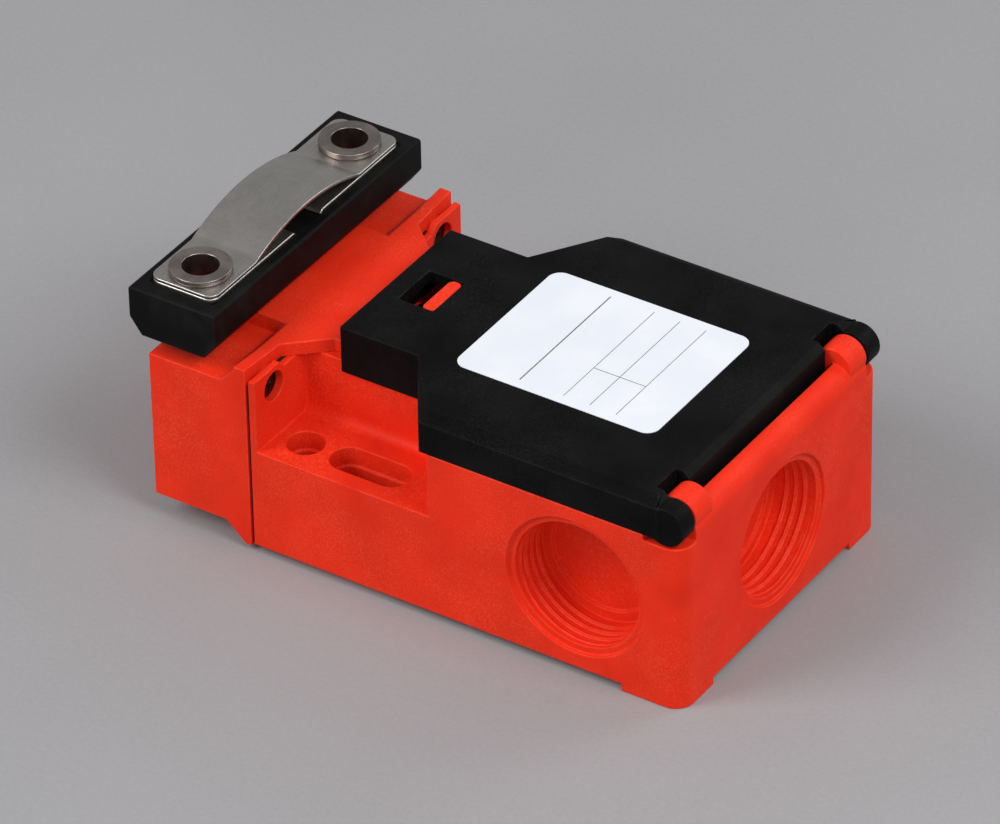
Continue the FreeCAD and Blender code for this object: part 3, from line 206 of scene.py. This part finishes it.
def moulded(name, colour, worn_and_highlight, roughness, cloud=0.05, scuffs=0.35, edge_wear_and_highlight=0.4, dust=0.28, shine=0.5):
    """A moulded plastic: clouds in its colour, powder and scuffs over it, and edges lightened by rubbing and
    by a painted highlight.
    """
    finish = Finish(name)
    clouds = finish.grain(9 * MM, detail=4.0)
    fine = finish.grain(0.22 * MM, detail=2.0)
    speckle = finish.grain(0.9 * MM, detail=3.0, roughness=0.65)
    patches = finish.cut(finish.grain(14 * MM, detail=2.0), 0.5, 0.68)
    scuff = finish.cut(speckle, 0.64, 0.74) * patches
    scratch = finish.cut(finish.grain(1.1 * MM, detail=2.0, stretch=(9, 1, 1)), 0.7, 0.78) * patches
    powder = finish.cut(finish.grain(0.28 * MM, detail=3.0, roughness=0.7), 0.44, 0.7)
    powder = powder * finish.cut(finish.grain(12 * MM, detail=3.0), 0.3, 0.65)
    # The edges are painted lighter: partly rubbed wear, partly a painted highlight where the rounds catch
    # light.
    rubbed_and_highlit_edges = finish.edges(0.35 * MM) * finish.cut(finish.grain(2.2 * MM), 0.35, 0.65)
    dark = [channel * (1 - 1.6 * cloud) for channel in colour[:3]] + [1]
    pale = [min(1, channel * (1 + 1.1 * cloud)) for channel in colour[:3]] + [1]
    base = finish.blend(finish.cut(clouds, 0.3, 0.7), dark, pale)
    base = finish.blend(scuff * scuffs + scratch * scuffs, base, worn_and_highlight)
    base = finish.blend(powder * dust, base, worn_and_highlight)
    base = finish.blend(rubbed_and_highlit_edges * edge_wear_and_highlight, base, worn_and_highlight)
    gloss = (roughness + 0.01) - finish.cut(clouds, 0.3, 0.7) * 0.08 + speckle * 0.12
    relief = finish.relief(fine + speckle * 0.5 - scratch * 0.6, TEXTURE_DEPTH)
    return finish.surface(Base_Color=base, Roughness=gloss, Specular_IOR_Level=shine, Normal=relief)


housing_plastic = moulded("red_orange_nylon", (0.8, 0.025, 0.0065, 1), (0.95, 0.2, 0.09, 1), 0.5, shine=0.13)
cover_plastic = moulded("black_nylon", (0.0036, 0.0034, 0.0036, 1), (0.1, 0.1, 0.105, 1), 0.46,
                        cloud=0.3, scuffs=0.12, edge_wear_and_highlight=0.2, dust=0.07, shine=0.06)
insert_plastic = moulded("grey_black_nylon", (0.035, 0.036, 0.04, 1), (0.16, 0.16, 0.17, 1), 0.46,
                         cloud=0.2, scuffs=0.1, edge_wear_and_highlight=0.25)
cam_plastic = moulded("natural_acetal", (0.71, 0.68, 0.6, 1), (0.86, 0.85, 0.8, 1), 0.32,
                      cloud=0.05, scuffs=0.1, edge_wear_and_highlight=0.2)
print("moulded plastics made")

# %% [markdown]
# Rubber looks softer than nylon: duller, with a bloom of pale dust that gathers in patches and finer pores.
# The actuator's bar and the seals share it; the bar is the only rubber piece in plain sight.

# %% Rubber
def rubber(name, colour, roughness, dust):
    """A dull rubber with fine pores, a dusty bloom and slightly shinier edges with a painted sheen."""
    finish = Finish(name)
    pores = finish.grain(0.16 * MM, detail=3.0, roughness=0.7)
    bloom = finish.cut(finish.grain(5 * MM, detail=5.0, roughness=0.62), 0.42, 0.72)
    flecks = finish.cut(finish.grain(0.55 * MM, detail=2.0), 0.68, 0.76)
    edge = finish.edges(0.45 * MM)
    dusty = [channel + 0.02 for channel in colour[:3]] + [1]
    base = finish.blend(bloom * dust + flecks * (0.6 * dust), colour, dusty)
    # The edges are painted a lighter grey: a painted sheen along the rounds.
    base = finish.blend(edge * 0.3, base, (0.09, 0.09, 0.095, 1))
    gloss = roughness + bloom * 0.12 - edge * 0.1
    relief = finish.relief(pores, 0.02 * MM)
    return finish.surface(Base_Color=base, Roughness=gloss, Specular_IOR_Level=0.07, Normal=relief)


actuator_rubber = rubber("black_bar_rubber", (0.0036, 0.0034, 0.0033, 1), 0.5, 0.25)
seal_rubber = rubber("dark_seal_rubber", (0.012, 0.011, 0.011, 1), 0.6, 0.2)
print("rubbers made")

# %% [markdown]
# The strips are cold-rolled steel. Rolling leaves fine lines along the strip, so a noise is drawn out many
# times along Y; it shades the colour, the roughness and a shallow relief together, and that makes the long
# soft streaks of a brushed sheet. Sheared edges are brighter because nothing has dulled them, and on top of
# that they carry a painted highlight along their rounds.

# %% Metals
def rolled(name, colour, streak_and_highlight_tone, roughness, stretch, lines=0.1 * MM, stain=0.25, edge_and_highlight_gain=0.7):
    """A metal with rolled lines, broad stains, small marks and sheared edges made brighter by a painted
    highlight.
    """
    finish = Finish(name)
    brushed = finish.grain(lines, detail=4.0, stretch=stretch, roughness=0.6)
    broad = finish.grain(3.2 * MM, detail=4.0)
    marks = finish.cut(finish.grain(0.7 * MM, detail=3.0, roughness=0.6), 0.62, 0.74)
    edge = finish.edges(0.12 * MM)
    dull = [channel * (1 - stain) for channel in colour[:3]] + [1]
    base = finish.blend(finish.cut(broad, 0.35, 0.65), dull, colour)
    base = finish.blend((brushed - 0.35) * 0.5, base, streak_and_highlight_tone)
    base = finish.blend(marks * 0.18, base, dull)
    # The edges are painted brighter: fresh sheared metal and a painted highlight along the rounds.
    base = finish.blend(edge * edge_and_highlight_gain, base, streak_and_highlight_tone)
    gloss = roughness + (brushed - 0.5) * 0.22 + marks * 0.1 - edge * 0.12
    relief = finish.relief(brushed, 0.008 * MM)
    return finish.surface(Base_Color=base, Metallic=1.0, Roughness=gloss, Normal=relief)


ALONG_Y, EVENLY = (1, 60, 1), (1, 1, 1)
strip_steel = rolled("rolled_strip_steel", (0.4, 0.375, 0.345, 1), (0.9, 0.89, 0.86, 1), 0.36, ALONG_Y,
                     stain=0.1, edge_and_highlight_gain=0.85)
bush_steel = rolled("turned_bush_steel", (0.31, 0.26, 0.24, 1), (0.6, 0.55, 0.52, 1), 0.34, EVENLY,
                    lines=0.35 * MM, stain=0.35, edge_and_highlight_gain=0.55)
screw_steel = rolled("zinc_plated_steel", (0.5, 0.5, 0.49, 1), (0.84, 0.84, 0.83, 1), 0.27, EVENLY,
                     lines=0.5 * MM, stain=0.15)
# This near-black steel is a painted shade: it keeps the seam screws' pockets dark.
pocket_shade_steel = rolled("pocket_shade_steel", (0.022, 0.021, 0.022, 1), (0.12, 0.12, 0.12, 1), 0.4, EVENLY,
                         lines=0.5 * MM, stain=0.3, edge_and_highlight_gain=0.4)
spring_steel = rolled("drawn_spring_steel", (0.47, 0.46, 0.45, 1), (0.8, 0.8, 0.79, 1), 0.24, EVENLY,
                      lines=0.08 * MM, stain=0.2)
contact_brass = rolled("stamped_brass", (0.68, 0.46, 0.17, 1), (0.88, 0.7, 0.36, 1), 0.27, (12, 1, 1),
                       lines=0.14 * MM, stain=0.3)
print("metals made")

# %% [markdown]
# The rating label is a white film. A real one is printed; this one carries only thin ruled lines and a
# divider, laid out as a blank form. The lines are drawn by the material: a line is where X lies within half a
# line's width of its place, so the film stays one smooth sheet and the ink has a duller gloss than the film.

# %% Label film
TITLE_LINE = (0.31, 0.22)  # a share of the label's length, and a width in mm
COLUMN_LINES = ((0.53, 0.12), (0.66, 0.12), (0.79, 0.12))
LINE_MARGIN = 1.6 * MM
DIVIDER_PLACE = -0.3  # as a share of the label's half width
DIVIDER_HALF = 0.07 * MM


def ruled_film(name):
    """A white film with lines ruled across it, and a divider between its columns."""
    low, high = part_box("type_label")
    finish = Finish(name)
    along, across = (finish.node("ShaderNodeSeparateXYZ", {}, {0: finish.place}, axis) for axis in "XY")
    length = high.x - low.x
    half_width = (high.y - low.y) / 2
    inside = finish.math("LESS_THAN", finish.math("ABSOLUTE", across, 0.0), half_width - LINE_MARGIN)
    ink = 0.0
    for share, line in (TITLE_LINE, *COLUMN_LINES):
        ink = ink + finish.math("COMPARE", along, low.x + share * length, line / 2 * MM)
    past_first = finish.math("GREATER_THAN", along, low.x + COLUMN_LINES[0][0] * length)
    before_last = finish.math("LESS_THAN", along, low.x + COLUMN_LINES[-1][0] * length)
    divider = finish.math("COMPARE", across, DIVIDER_PLACE * half_width, DIVIDER_HALF)
    divider = divider * past_first * before_last
    ink = finish.math("MINIMUM", ink * inside + divider, 1.0)
    print_grain = finish.cut(finish.grain(0.12 * MM), 0.2, 0.4)
    clouds = finish.cut(finish.grain(8 * MM, detail=3.0), 0.35, 0.7)
    smudge = finish.cut(finish.grain(2.4 * MM, detail=5.0, roughness=0.65), 0.6, 0.78)
    film = finish.blend(clouds, (0.73, 0.75, 0.81, 1), (0.78, 0.795, 0.84, 1))
    film = finish.blend(smudge * 0.12, film, (0.55, 0.55, 0.56, 1))
    base = finish.blend(ink * print_grain * 0.85, film, (0.03, 0.03, 0.035, 1))
    gloss = 0.34 + ink * 0.2 + smudge * 0.12
    height = finish.grain(0.5 * MM, detail=2.0)
    return finish.surface(Base_Color=base, Roughness=gloss, Normal=finish.relief(height, 0.003 * MM))


label_film = ruled_film("white_label_film")
print("label film ruled")

# %% [markdown]
# A CAD solid has knife-sharp edges, and no moulded, cut or stamped piece does: the small round on each edge
# is what catches the light. The CAD mesh itself is never changed. Each piece is a copy: its loose triangles
# are welded, flat areas are dissolved to single faces, and a Bevel modifier rounds what is sharper than an
# angle. A Weighted Normal modifier then keeps the big faces flat in shading, so only the rounds glow.

# %% Finished pieces from packed ones
WELD_DISTANCE = 0.001 * MM
FLAT_WITHIN = math.radians(0.3)
SHARP_ANGLE = math.radians(33)
ROUND_SEGMENTS = 3


def only(piece):
    """Select one object alone and make it the active one."""
    bpy.ops.object.select_all(action="DESELECT")
    piece.select_set(True)
    bpy.context.view_layer.objects.active = piece


def apply_modifier(piece, kind, **settings):
    """Add a modifier with these settings and apply it."""
    modifier = piece.modifiers.new(kind.title(), kind)
    for key, setting in settings.items():
        setattr(modifier, key, setting)
    only(piece)
    bpy.ops.object.modifier_apply(modifier=modifier.name)


def welded_copy(node, name):
    """A copy of a CAD node's mesh as one welded shell with flat faces in one piece each."""
    piece = bpy.data.objects.new(name, nodes[node].data.copy())
    bpy.context.scene.collection.objects.link(piece)
    piece.data.materials.clear()
    only(piece)
    bpy.ops.mesh.customdata_custom_splitnormals_clear()
    bpy.ops.object.mode_set(mode="EDIT")
    bpy.ops.mesh.select_all(action="SELECT")
    bpy.ops.mesh.remove_doubles(threshold=WELD_DISTANCE)
    bpy.ops.mesh.dissolve_limited(angle_limit=FLAT_WITHIN)
    bpy.ops.object.mode_set(mode="OBJECT")
    return piece


def soften(piece, width, clamp=True):
    """Round the sharp edges and shade them smoothly. Clamped, the smallest corner limits every round."""
    if width:
        apply_modifier(piece, "BEVEL", width=width, segments=ROUND_SEGMENTS, limit_method="ANGLE",
                       angle_limit=SHARP_ANGLE, use_clamp_overlap=clamp)
    only(piece)
    bpy.ops.object.shade_smooth_by_angle(angle=SHARP_ANGLE)
    apply_modifier(piece, "WEIGHTED_NORMAL", keep_sharp=True, weight=80)


def settle(piece, node_names, material, rides=True):
    """Ride the piece on its CAD body, hide what it stands for, and give it its finish."""
    if rides:
        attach(piece, nodes[node_names[0]]["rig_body"])
    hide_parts(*node_names)
    piece.data.materials.clear()
    piece.data.materials.append(material)


def hold_in_box(piece, node):
    """Put back the corners that a wide round has pushed past the CAD node's box."""
    low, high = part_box(node)
    for vertex in piece.data.vertices:
        vertex.co = [min(max(vertex.co[k], low[k]), high[k]) for k in range(3)]


def finished(node, name, material, round_edge, clamp=True):
    """A CAD node's finished copy: welded, rounded, on its body and in its material."""
    piece = welded_copy(node, name)
    soften(piece, round_edge, clamp=clamp)
    hold_in_box(piece, node)
    settle(piece, [node], material)
    print(f"{name:24s} {len(piece.data.polygons):6d} faces")


# %% [markdown]
# The body and the head are separate mouldings, screwed together with a rubber gasket between them. Their
# edges are rounded by about a fifth of a millimetre, as a mould's split line leaves them. The bevel's clamp
# is off on these shells, because with it their smallest corner would take the round from every other edge.

# %% Housing, cover and bar
MOULD_EDGE = 0.2 * MM
COVER_EDGE = 0.16 * MM
BAR_EDGE = 0.3 * MM
LABEL_EDGE = 0.04 * MM
finished("body_housing", "body_shell", housing_plastic, MOULD_EDGE, clamp=False)
finished("head_housing", "head_shell", housing_plastic, MOULD_EDGE, clamp=False)
finished("cover", "cover_shell", cover_plastic, COVER_EDGE, clamp=False)
finished("actuator_block", "actuator_bar", actuator_rubber, BAR_EDGE, clamp=False)
finished("type_label", "rating_label", label_film, LABEL_EDGE)

# %% [markdown]
# The strips are sheared and bent, so their edges are crisp and their rounds tiny. The bushes are turned and
# flanged over, and all of a bush's edges get one small round.

# %% Strips and bushes
TONGUE_EDGE = 0.24 * MM
BOW_EDGE = 0.18 * MM
BUSH_EDGE = 0.14 * MM
finished("actuator_tongue", "tongue_strip", strip_steel, TONGUE_EDGE, clamp=False)
finished("actuator_bow", "bow_strip", strip_steel, BOW_EDGE, clamp=False)
for side in ("left", "right"):
    finished(f"actuator_bush_{side}", f"bush_{side}", bush_steel, BUSH_EDGE, clamp=False)

# %% [markdown]
# What the housing hides still shows when the cover swings open or the actuator is pulled out. These pieces
# get the same care: welded, rounded and finished in their own plastic, brass or steel.

# %% Cam, plunger and contact pieces
inner_pieces = [
    ("cam_carrier", "cam_cheeks", "insert_plastic", insert_plastic, 0.15),
    ("cam_disc_centre", "cam_disc_middle", "cam_plastic", cam_plastic, 0.08),
    ("cam_disc_left", "cam_disc_coded_left", "cam_plastic", cam_plastic, 0.08),
    ("cam_disc_right", "cam_disc_coded_right", "cam_plastic", cam_plastic, 0.08),
    ("cam_shaft", "cam_axle", "screw_steel", screw_steel, 0.1),
    ("plunger", "plunger_rod", "cam_plastic", cam_plastic, 0.0),
    ("plunger_seal", "plunger_ring", "seal_rubber", seal_rubber, 0.1),
    ("head_gasket", "seam_gasket", "seal_rubber", seal_rubber, 0.1),
    ("cover_gasket", "lid_gasket", "seal_rubber", seal_rubber, 0.3),
    ("contact_block", "block_base", "insert_plastic", insert_plastic, 0.12),
    ("contact_block_lid", "block_lid", "insert_plastic", insert_plastic, 0.15),
    ("contact_carrier", "contact_slide", "cam_plastic", cam_plastic, 0.12),
    ("nc_bridge", "opening_bridge", "contact_brass", contact_brass, 0.08),
    ("no_bridge", "closing_bridge", "contact_brass", contact_brass, 0.08),
    ("terminal_nc_a", "opening_strip_a", "contact_brass", contact_brass, 0.08),
    ("terminal_nc_b", "opening_strip_b", "contact_brass", contact_brass, 0.08),
    ("terminal_no_a", "closing_strip_a", "contact_brass", contact_brass, 0.08),
    ("terminal_no_b", "closing_strip_b", "contact_brass", contact_brass, 0.08),
    ("nc_contact_spring", "opening_spring", "spring_steel", spring_steel, 0.0),
    ("no_contact_spring", "closing_spring", "spring_steel", spring_steel, 0.0),
]
for node, name, slot, material, edge in inner_pieces:
    finished(node, name, material, edge * MM)

# %% [markdown]
# The slide spring stands between the housing and the contact slide. One end stays and the other follows the
# slide, as a coil that is pressed does; here the wire rides on no body and stays where it is, and only its
# two ends are found.

# %% Slide spring between two bodies
low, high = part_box("return_spring")
slide_joint = next(joint for joint in record["behaviour"]["joints"] if joint["name"] == "plunger_slide")
fixed_x = slide_joint["deforming_nodes"][0]["fixed_end_x_m"]
ends = sorted((low.x, high.x), key=lambda x: abs(x - fixed_x))
slide_spring = welded_copy("return_spring", "slide_spring")
soften(slide_spring, 0)
settle(slide_spring, ["return_spring"], spring_steel, rides=False)
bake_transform(slide_spring)
print("slide spring stays at x", round(ends[0] / MM, 2), "mm and follows at", round(ends[1] / MM, 2), "mm")

# %% [markdown]
# Screws that are alike share one node. A screw is known by its drive, so a cross recess is cut into each
# head: two crossed boxes, drawn in towards their inner end, stand at the head's middle, and one Boolean
# modifier takes all of them away. A head's middle is that of its outermost corners.

# %% Screws with cross recesses
SCREW_EDGE = 0.12 * MM
RECESS_REACH, RECESS_DEPTH = 0.3, 0.22  # as shares of the head's diameter
ARM_SHARE = 0.16  # half an arm's thickness, as a share of its reach
RECESS_TAPER = 0.55


def box_piece(name, low, high):
    """A box between two corners, with its place in its mesh."""
    bpy.ops.object.select_all(action="DESELECT")
    middle, size = (low + high) / 2, high - low
    bpy.ops.mesh.primitive_cube_add(size=1, location=middle, scale=size)
    piece = bpy.context.object
    piece.name = name
    bpy.ops.object.transform_apply(location=True, rotation=True, scale=True)
    return piece


def joined(pieces, name):
    """Several objects made one."""
    only(pieces[0])
    for piece in pieces:
        piece.select_set(True)
    if len(pieces) > 1:
        bpy.ops.object.join()
    made = bpy.context.object
    made.name = name
    return made


def cross_cutter(seat, axis, reach, depth):
    """Two crossed wedges, `reach` long from the head's middle, that go `depth` into the head."""
    side = Vector((0, 1, 0)) if abs(axis.x) > 0.5 else Vector((1, 0, 0))
    other = axis.cross(side)
    arms = []
    for along, thick in ((side, other), (other, side)):
        half = along * reach + thick * (ARM_SHARE * reach) + axis * depth
        half = Vector([abs(value) for value in half])
        arms.append(box_piece("arm", seat - half, seat + half))
    cutter = joined(arms, "cutter")
    only(cutter)
    bpy.ops.object.mode_set(mode="EDIT")
    bpy.ops.mesh.select_all(action="DESELECT")
    bpy.ops.object.mode_set(mode="OBJECT")
    for vertex in cutter.data.vertices:
        vertex.select = (vertex.co - seat).dot(axis) < 0
    bpy.ops.object.mode_set(mode="EDIT")
    bpy.ops.transform.resize(value=(RECESS_TAPER,) * 3, center_override=seat - axis * depth)
    bpy.ops.object.mode_set(mode="OBJECT")
    return cutter


def head_middles(piece, axis):
    """The middle of each screw's outer face. A screw is a set of corners that edges tie together."""
    tied = list(range(len(piece.data.vertices)))

    def root(index):
        while tied[index] != index:
            index = tied[index]
        return index

    for edge in piece.data.edges:
        first, second = (root(index) for index in edge.vertices)
        tied[first] = second
    screws = {}
    for vertex in piece.data.vertices:
        screws.setdefault(root(vertex.index), []).append(vertex.co)
    middles = []
    for corners in screws.values():
        outermost = max(corner.dot(axis) for corner in corners)
        face = [corner for corner in corners if corner.dot(axis) > outermost - 0.02 * MM]
        ends = [(min(corner[k] for corner in face), max(corner[k] for corner in face)) for k in range(3)]
        middles.append(Vector([(low + high) / 2 for low, high in ends]))
    return middles


def cross_screws(node, name, axis, head_diameter, material=screw_steel):
    """The node's screws, each with a rounded head rim and a cross recess in its face."""
    screws = welded_copy(node, name)
    soften(screws, SCREW_EDGE)
    middles = head_middles(screws, axis)
    reach, depth = RECESS_REACH * head_diameter, RECESS_DEPTH * head_diameter
    cutters = [cross_cutter(middle, axis, reach, depth) for middle in middles]
    cutter = joined(cutters, "cutter")
    apply_modifier(screws, "BOOLEAN", operation="DIFFERENCE", object=cutter, solver="EXACT", use_self=True)
    bpy.data.objects.remove(cutter)
    only(screws)
    bpy.ops.object.shade_smooth_by_angle(angle=SHARP_ANGLE)
    settle(screws, [node], material)
    print(f"{name:24s} {len(middles)} screws, {len(screws.data.polygons)} faces")


# The seam screws take the near-black steel, a painted shade in their pockets.
cross_screws("head_screws", "seam_screws", Vector((1, 0, 0)), 4.2 * MM, pocket_shade_steel)
cross_screws("terminal_screws", "clamp_screws", Vector((0, 0, 1)), 4.4 * MM)
cross_screws("block_screws", "block_fixing_screws", Vector((0, 0, 1)), 4.4 * MM)
finished("clamp_washers", "square_clamp_washers", screw_steel, SCREW_EDGE)

# %% [markdown]
# The three conduit entries take an M20 gland, so their bores carry a thread with a 1.5 mm pitch. A thread is
# a small profile swept along a helix. The Screw modifier does that: a four-sided profile stands beside the
# bore's axis, half of it in the wall, and is turned while it climbs. Its ends are closed, and the first and
# last third of a turn sinks into the wall as a thread's run-out does. The entry's place, axis and radius come
# from the record's mounts.

# %% Entry threads
PITCH = 1.5 * MM
TURNS = 4
CREST = 0.28 * MM
HALF_WIDTH = 0.3 * PITCH
SINK = 1.1 * CREST
RUN_OUT = 0.35  # in turns
STEPS = 56  # to a turn


def entry_thread(mount, name):
    """A helical ridge along one entry's bore."""
    radius = mount["dims"]["r_mm"] * MM
    axis = Vector(mount["axis"])
    bpy.ops.object.select_all(action="DESELECT")
    start = Vector((radius, 0, -PITCH * TURNS / 2))
    bpy.ops.mesh.primitive_circle_add(vertices=4, radius=CREST, location=start,
                                      rotation=(math.radians(90), 0, 0))
    ridge = bpy.context.object
    ridge.name = name
    ridge.scale.y = HALF_WIDTH / CREST
    bpy.ops.object.transform_apply(location=True, rotation=True, scale=True)
    apply_modifier(ridge, "SCREW", axis="Z", angle=math.radians(360), screw_offset=PITCH, iterations=TURNS,
                   steps=STEPS, render_steps=STEPS, use_smooth_shade=True)
    only(ridge)
    bpy.ops.object.mode_set(mode="EDIT")
    bpy.ops.mesh.select_all(action="SELECT")
    bpy.ops.mesh.fill_holes(sides=0)
    bpy.ops.mesh.select_all(action="SELECT")
    bpy.ops.mesh.normals_make_consistent(inside=False)
    bpy.ops.object.mode_set(mode="OBJECT")
    for vertex in ridge.data.vertices:
        turn = vertex.co.z / PITCH + TURNS / 2
        sunk = max(0, 1 - min(turn, TURNS - turn) / RUN_OUT)
        vertex.co.xy *= 1 + sunk * SINK / radius
    turned = axis.to_track_quat("Z", "Y").to_matrix().to_4x4()
    ridge.data.transform(Matrix.Translation(mount["pos_m"]) @ turned)
    bpy.ops.object.shade_smooth_by_angle(angle=math.radians(50))
    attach(ridge, nodes["body_housing"]["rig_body"])
    ridge.data.materials.append(housing_plastic)
    print(f"{name:24s} {len(ridge.data.polygons)} faces")


entries = [mount for mount in record["mounts"] if mount["kind"] == "threaded_hole"]
for mount in entries:
    entry_thread(mount, mount["name"].replace("conduit", "entry_thread"))

# %% [markdown]
# Any CAD node that still shows keeps its own mesh and the material it came with; the list below names them.

# %% Nodes left showing
left = [name for name, node in nodes.items() if not node.hide_render]
print("nodes without a finished piece:", left or "none")

# %% [markdown]
# The floor is a plain pale grey sheet. Soft light comes from a wide lamp high on the right, one on the left,
# a low one in front that reaches into the entries, one behind that draws the edges, and a grey sky. The lamps
# are large, so shadows have soft edges; their power is set so that a colour renders about as bright as it is
# written.

# %% Floor, lamps and sky
floor_finish = Finish("pale_floor")
floor_clouds = floor_finish.grain(90 * MM, detail=2.0)
floor_fleck = floor_finish.grain(0.7 * MM, detail=2.0)
floor_tone = floor_finish.cut(floor_clouds * 0.6 + floor_fleck * 0.4, 0.25, 0.75)
floor_colour = floor_finish.blend(floor_tone, (0.285, 0.282, 0.29, 1), (0.325, 0.322, 0.328, 1))
floor_material = floor_finish.surface(Base_Color=floor_colour, Roughness=0.8)

bpy.ops.object.select_all(action="DESELECT")
bpy.ops.mesh.primitive_circle_add(vertices=64, radius=3, fill_type="NGON", location=(0, 0, 0))
floor = bpy.context.object
floor.name = "floor"
bpy.ops.object.transform_apply(location=True, rotation=True, scale=True)
floor.data.materials.append(floor_material)
floor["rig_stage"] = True

centre = (cad_low + cad_high) / 2


def lamp(name, azimuth, elevation, distance, size, power):
    """A round lamp that faces the switch's middle from an azimuth and an elevation in degrees."""
    turn, rise = math.radians(azimuth), math.radians(elevation)
    away = Vector((math.sin(turn) * math.cos(rise), -math.cos(turn) * math.cos(rise), math.sin(rise)))
    light = bpy.data.lights.new(name, "AREA")
    light.shape = "DISK"
    light.size = size
    light.energy = power
    lit = bpy.data.objects.new(name, light)
    lit.location = centre + away * distance
    lit.rotation_mode = "QUATERNION"
    lit.rotation_quaternion = away.to_track_quat("Z", "Y")
    bpy.context.scene.collection.objects.link(lit)


lamp("key_lamp", azimuth=80, elevation=48, distance=0.9, size=0.5, power=4.1)
lamp("left_lamp", azimuth=-37, elevation=40, distance=1.0, size=0.5, power=5.2)
lamp("front_lamp", azimuth=30, elevation=16, distance=1.1, size=0.4, power=1.3)
lamp("back_lamp", azimuth=148, elevation=34, distance=0.9, size=0.4, power=1.3)

sky = bpy.data.worlds.new("grey_sky")
bpy.context.scene.world = sky
sky.use_nodes = True
background = sky.node_tree.nodes["Background"].inputs
background["Color"].default_value = (0.82, 0.83, 0.85, 1)
background["Strength"].default_value = 0.5
print("stage set")

# %% [markdown]
# The camera looks down on the entry side from the right, through a long lens that keeps parallel edges
# nearly parallel. Its place is given by azimuth, elevation and distance from the point it aims at, with a
# slight roll.

# %% Camera
AZIMUTH, ELEVATION, ROLL = (math.radians(angle) for angle in (33.72, 35.70, -1.18))
SUBJECT_DISTANCE = 1.14
FOCAL_LENGTH, SENSOR_WIDTH = 289.8, 36
aim = Vector((0.01186, 0.01043, 0.00835))
back = Vector((math.sin(AZIMUTH) * math.cos(ELEVATION), -math.cos(AZIMUTH) * math.cos(ELEVATION),
               math.sin(ELEVATION)))
level_right = Vector((0, 0, 1)).cross(back).normalized()
level_up = back.cross(level_right)
right = math.cos(ROLL) * level_right + math.sin(ROLL) * level_up
up = math.cos(ROLL) * level_up - math.sin(ROLL) * level_right
pose = Matrix((right, up, back)).transposed().to_4x4()
pose.translation = aim + back * SUBJECT_DISTANCE

camera = bpy.data.objects.new("camera", bpy.data.cameras.new("camera"))
camera.data.lens = FOCAL_LENGTH
camera.data.sensor_width = SENSOR_WIDTH
camera.data.clip_start = 0.01
camera.matrix_world = pose
bpy.context.scene.collection.objects.link(camera)
bpy.context.scene.camera = camera
bpy.context.scene.view_settings.view_transform = "Standard"
print("camera at", [round(value, 4) for value in pose.translation])

# %% [markdown]
# The finished switch's size is printed, beside the CAD model's size printed at the start.
# The finished switch has to stay within the CAD model's box.

# %% Sizes and finish
bpy.context.view_layer.update()
low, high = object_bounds()
print("dressed switch measures", [round(side / MM, 2) for side in high - low], "mm")
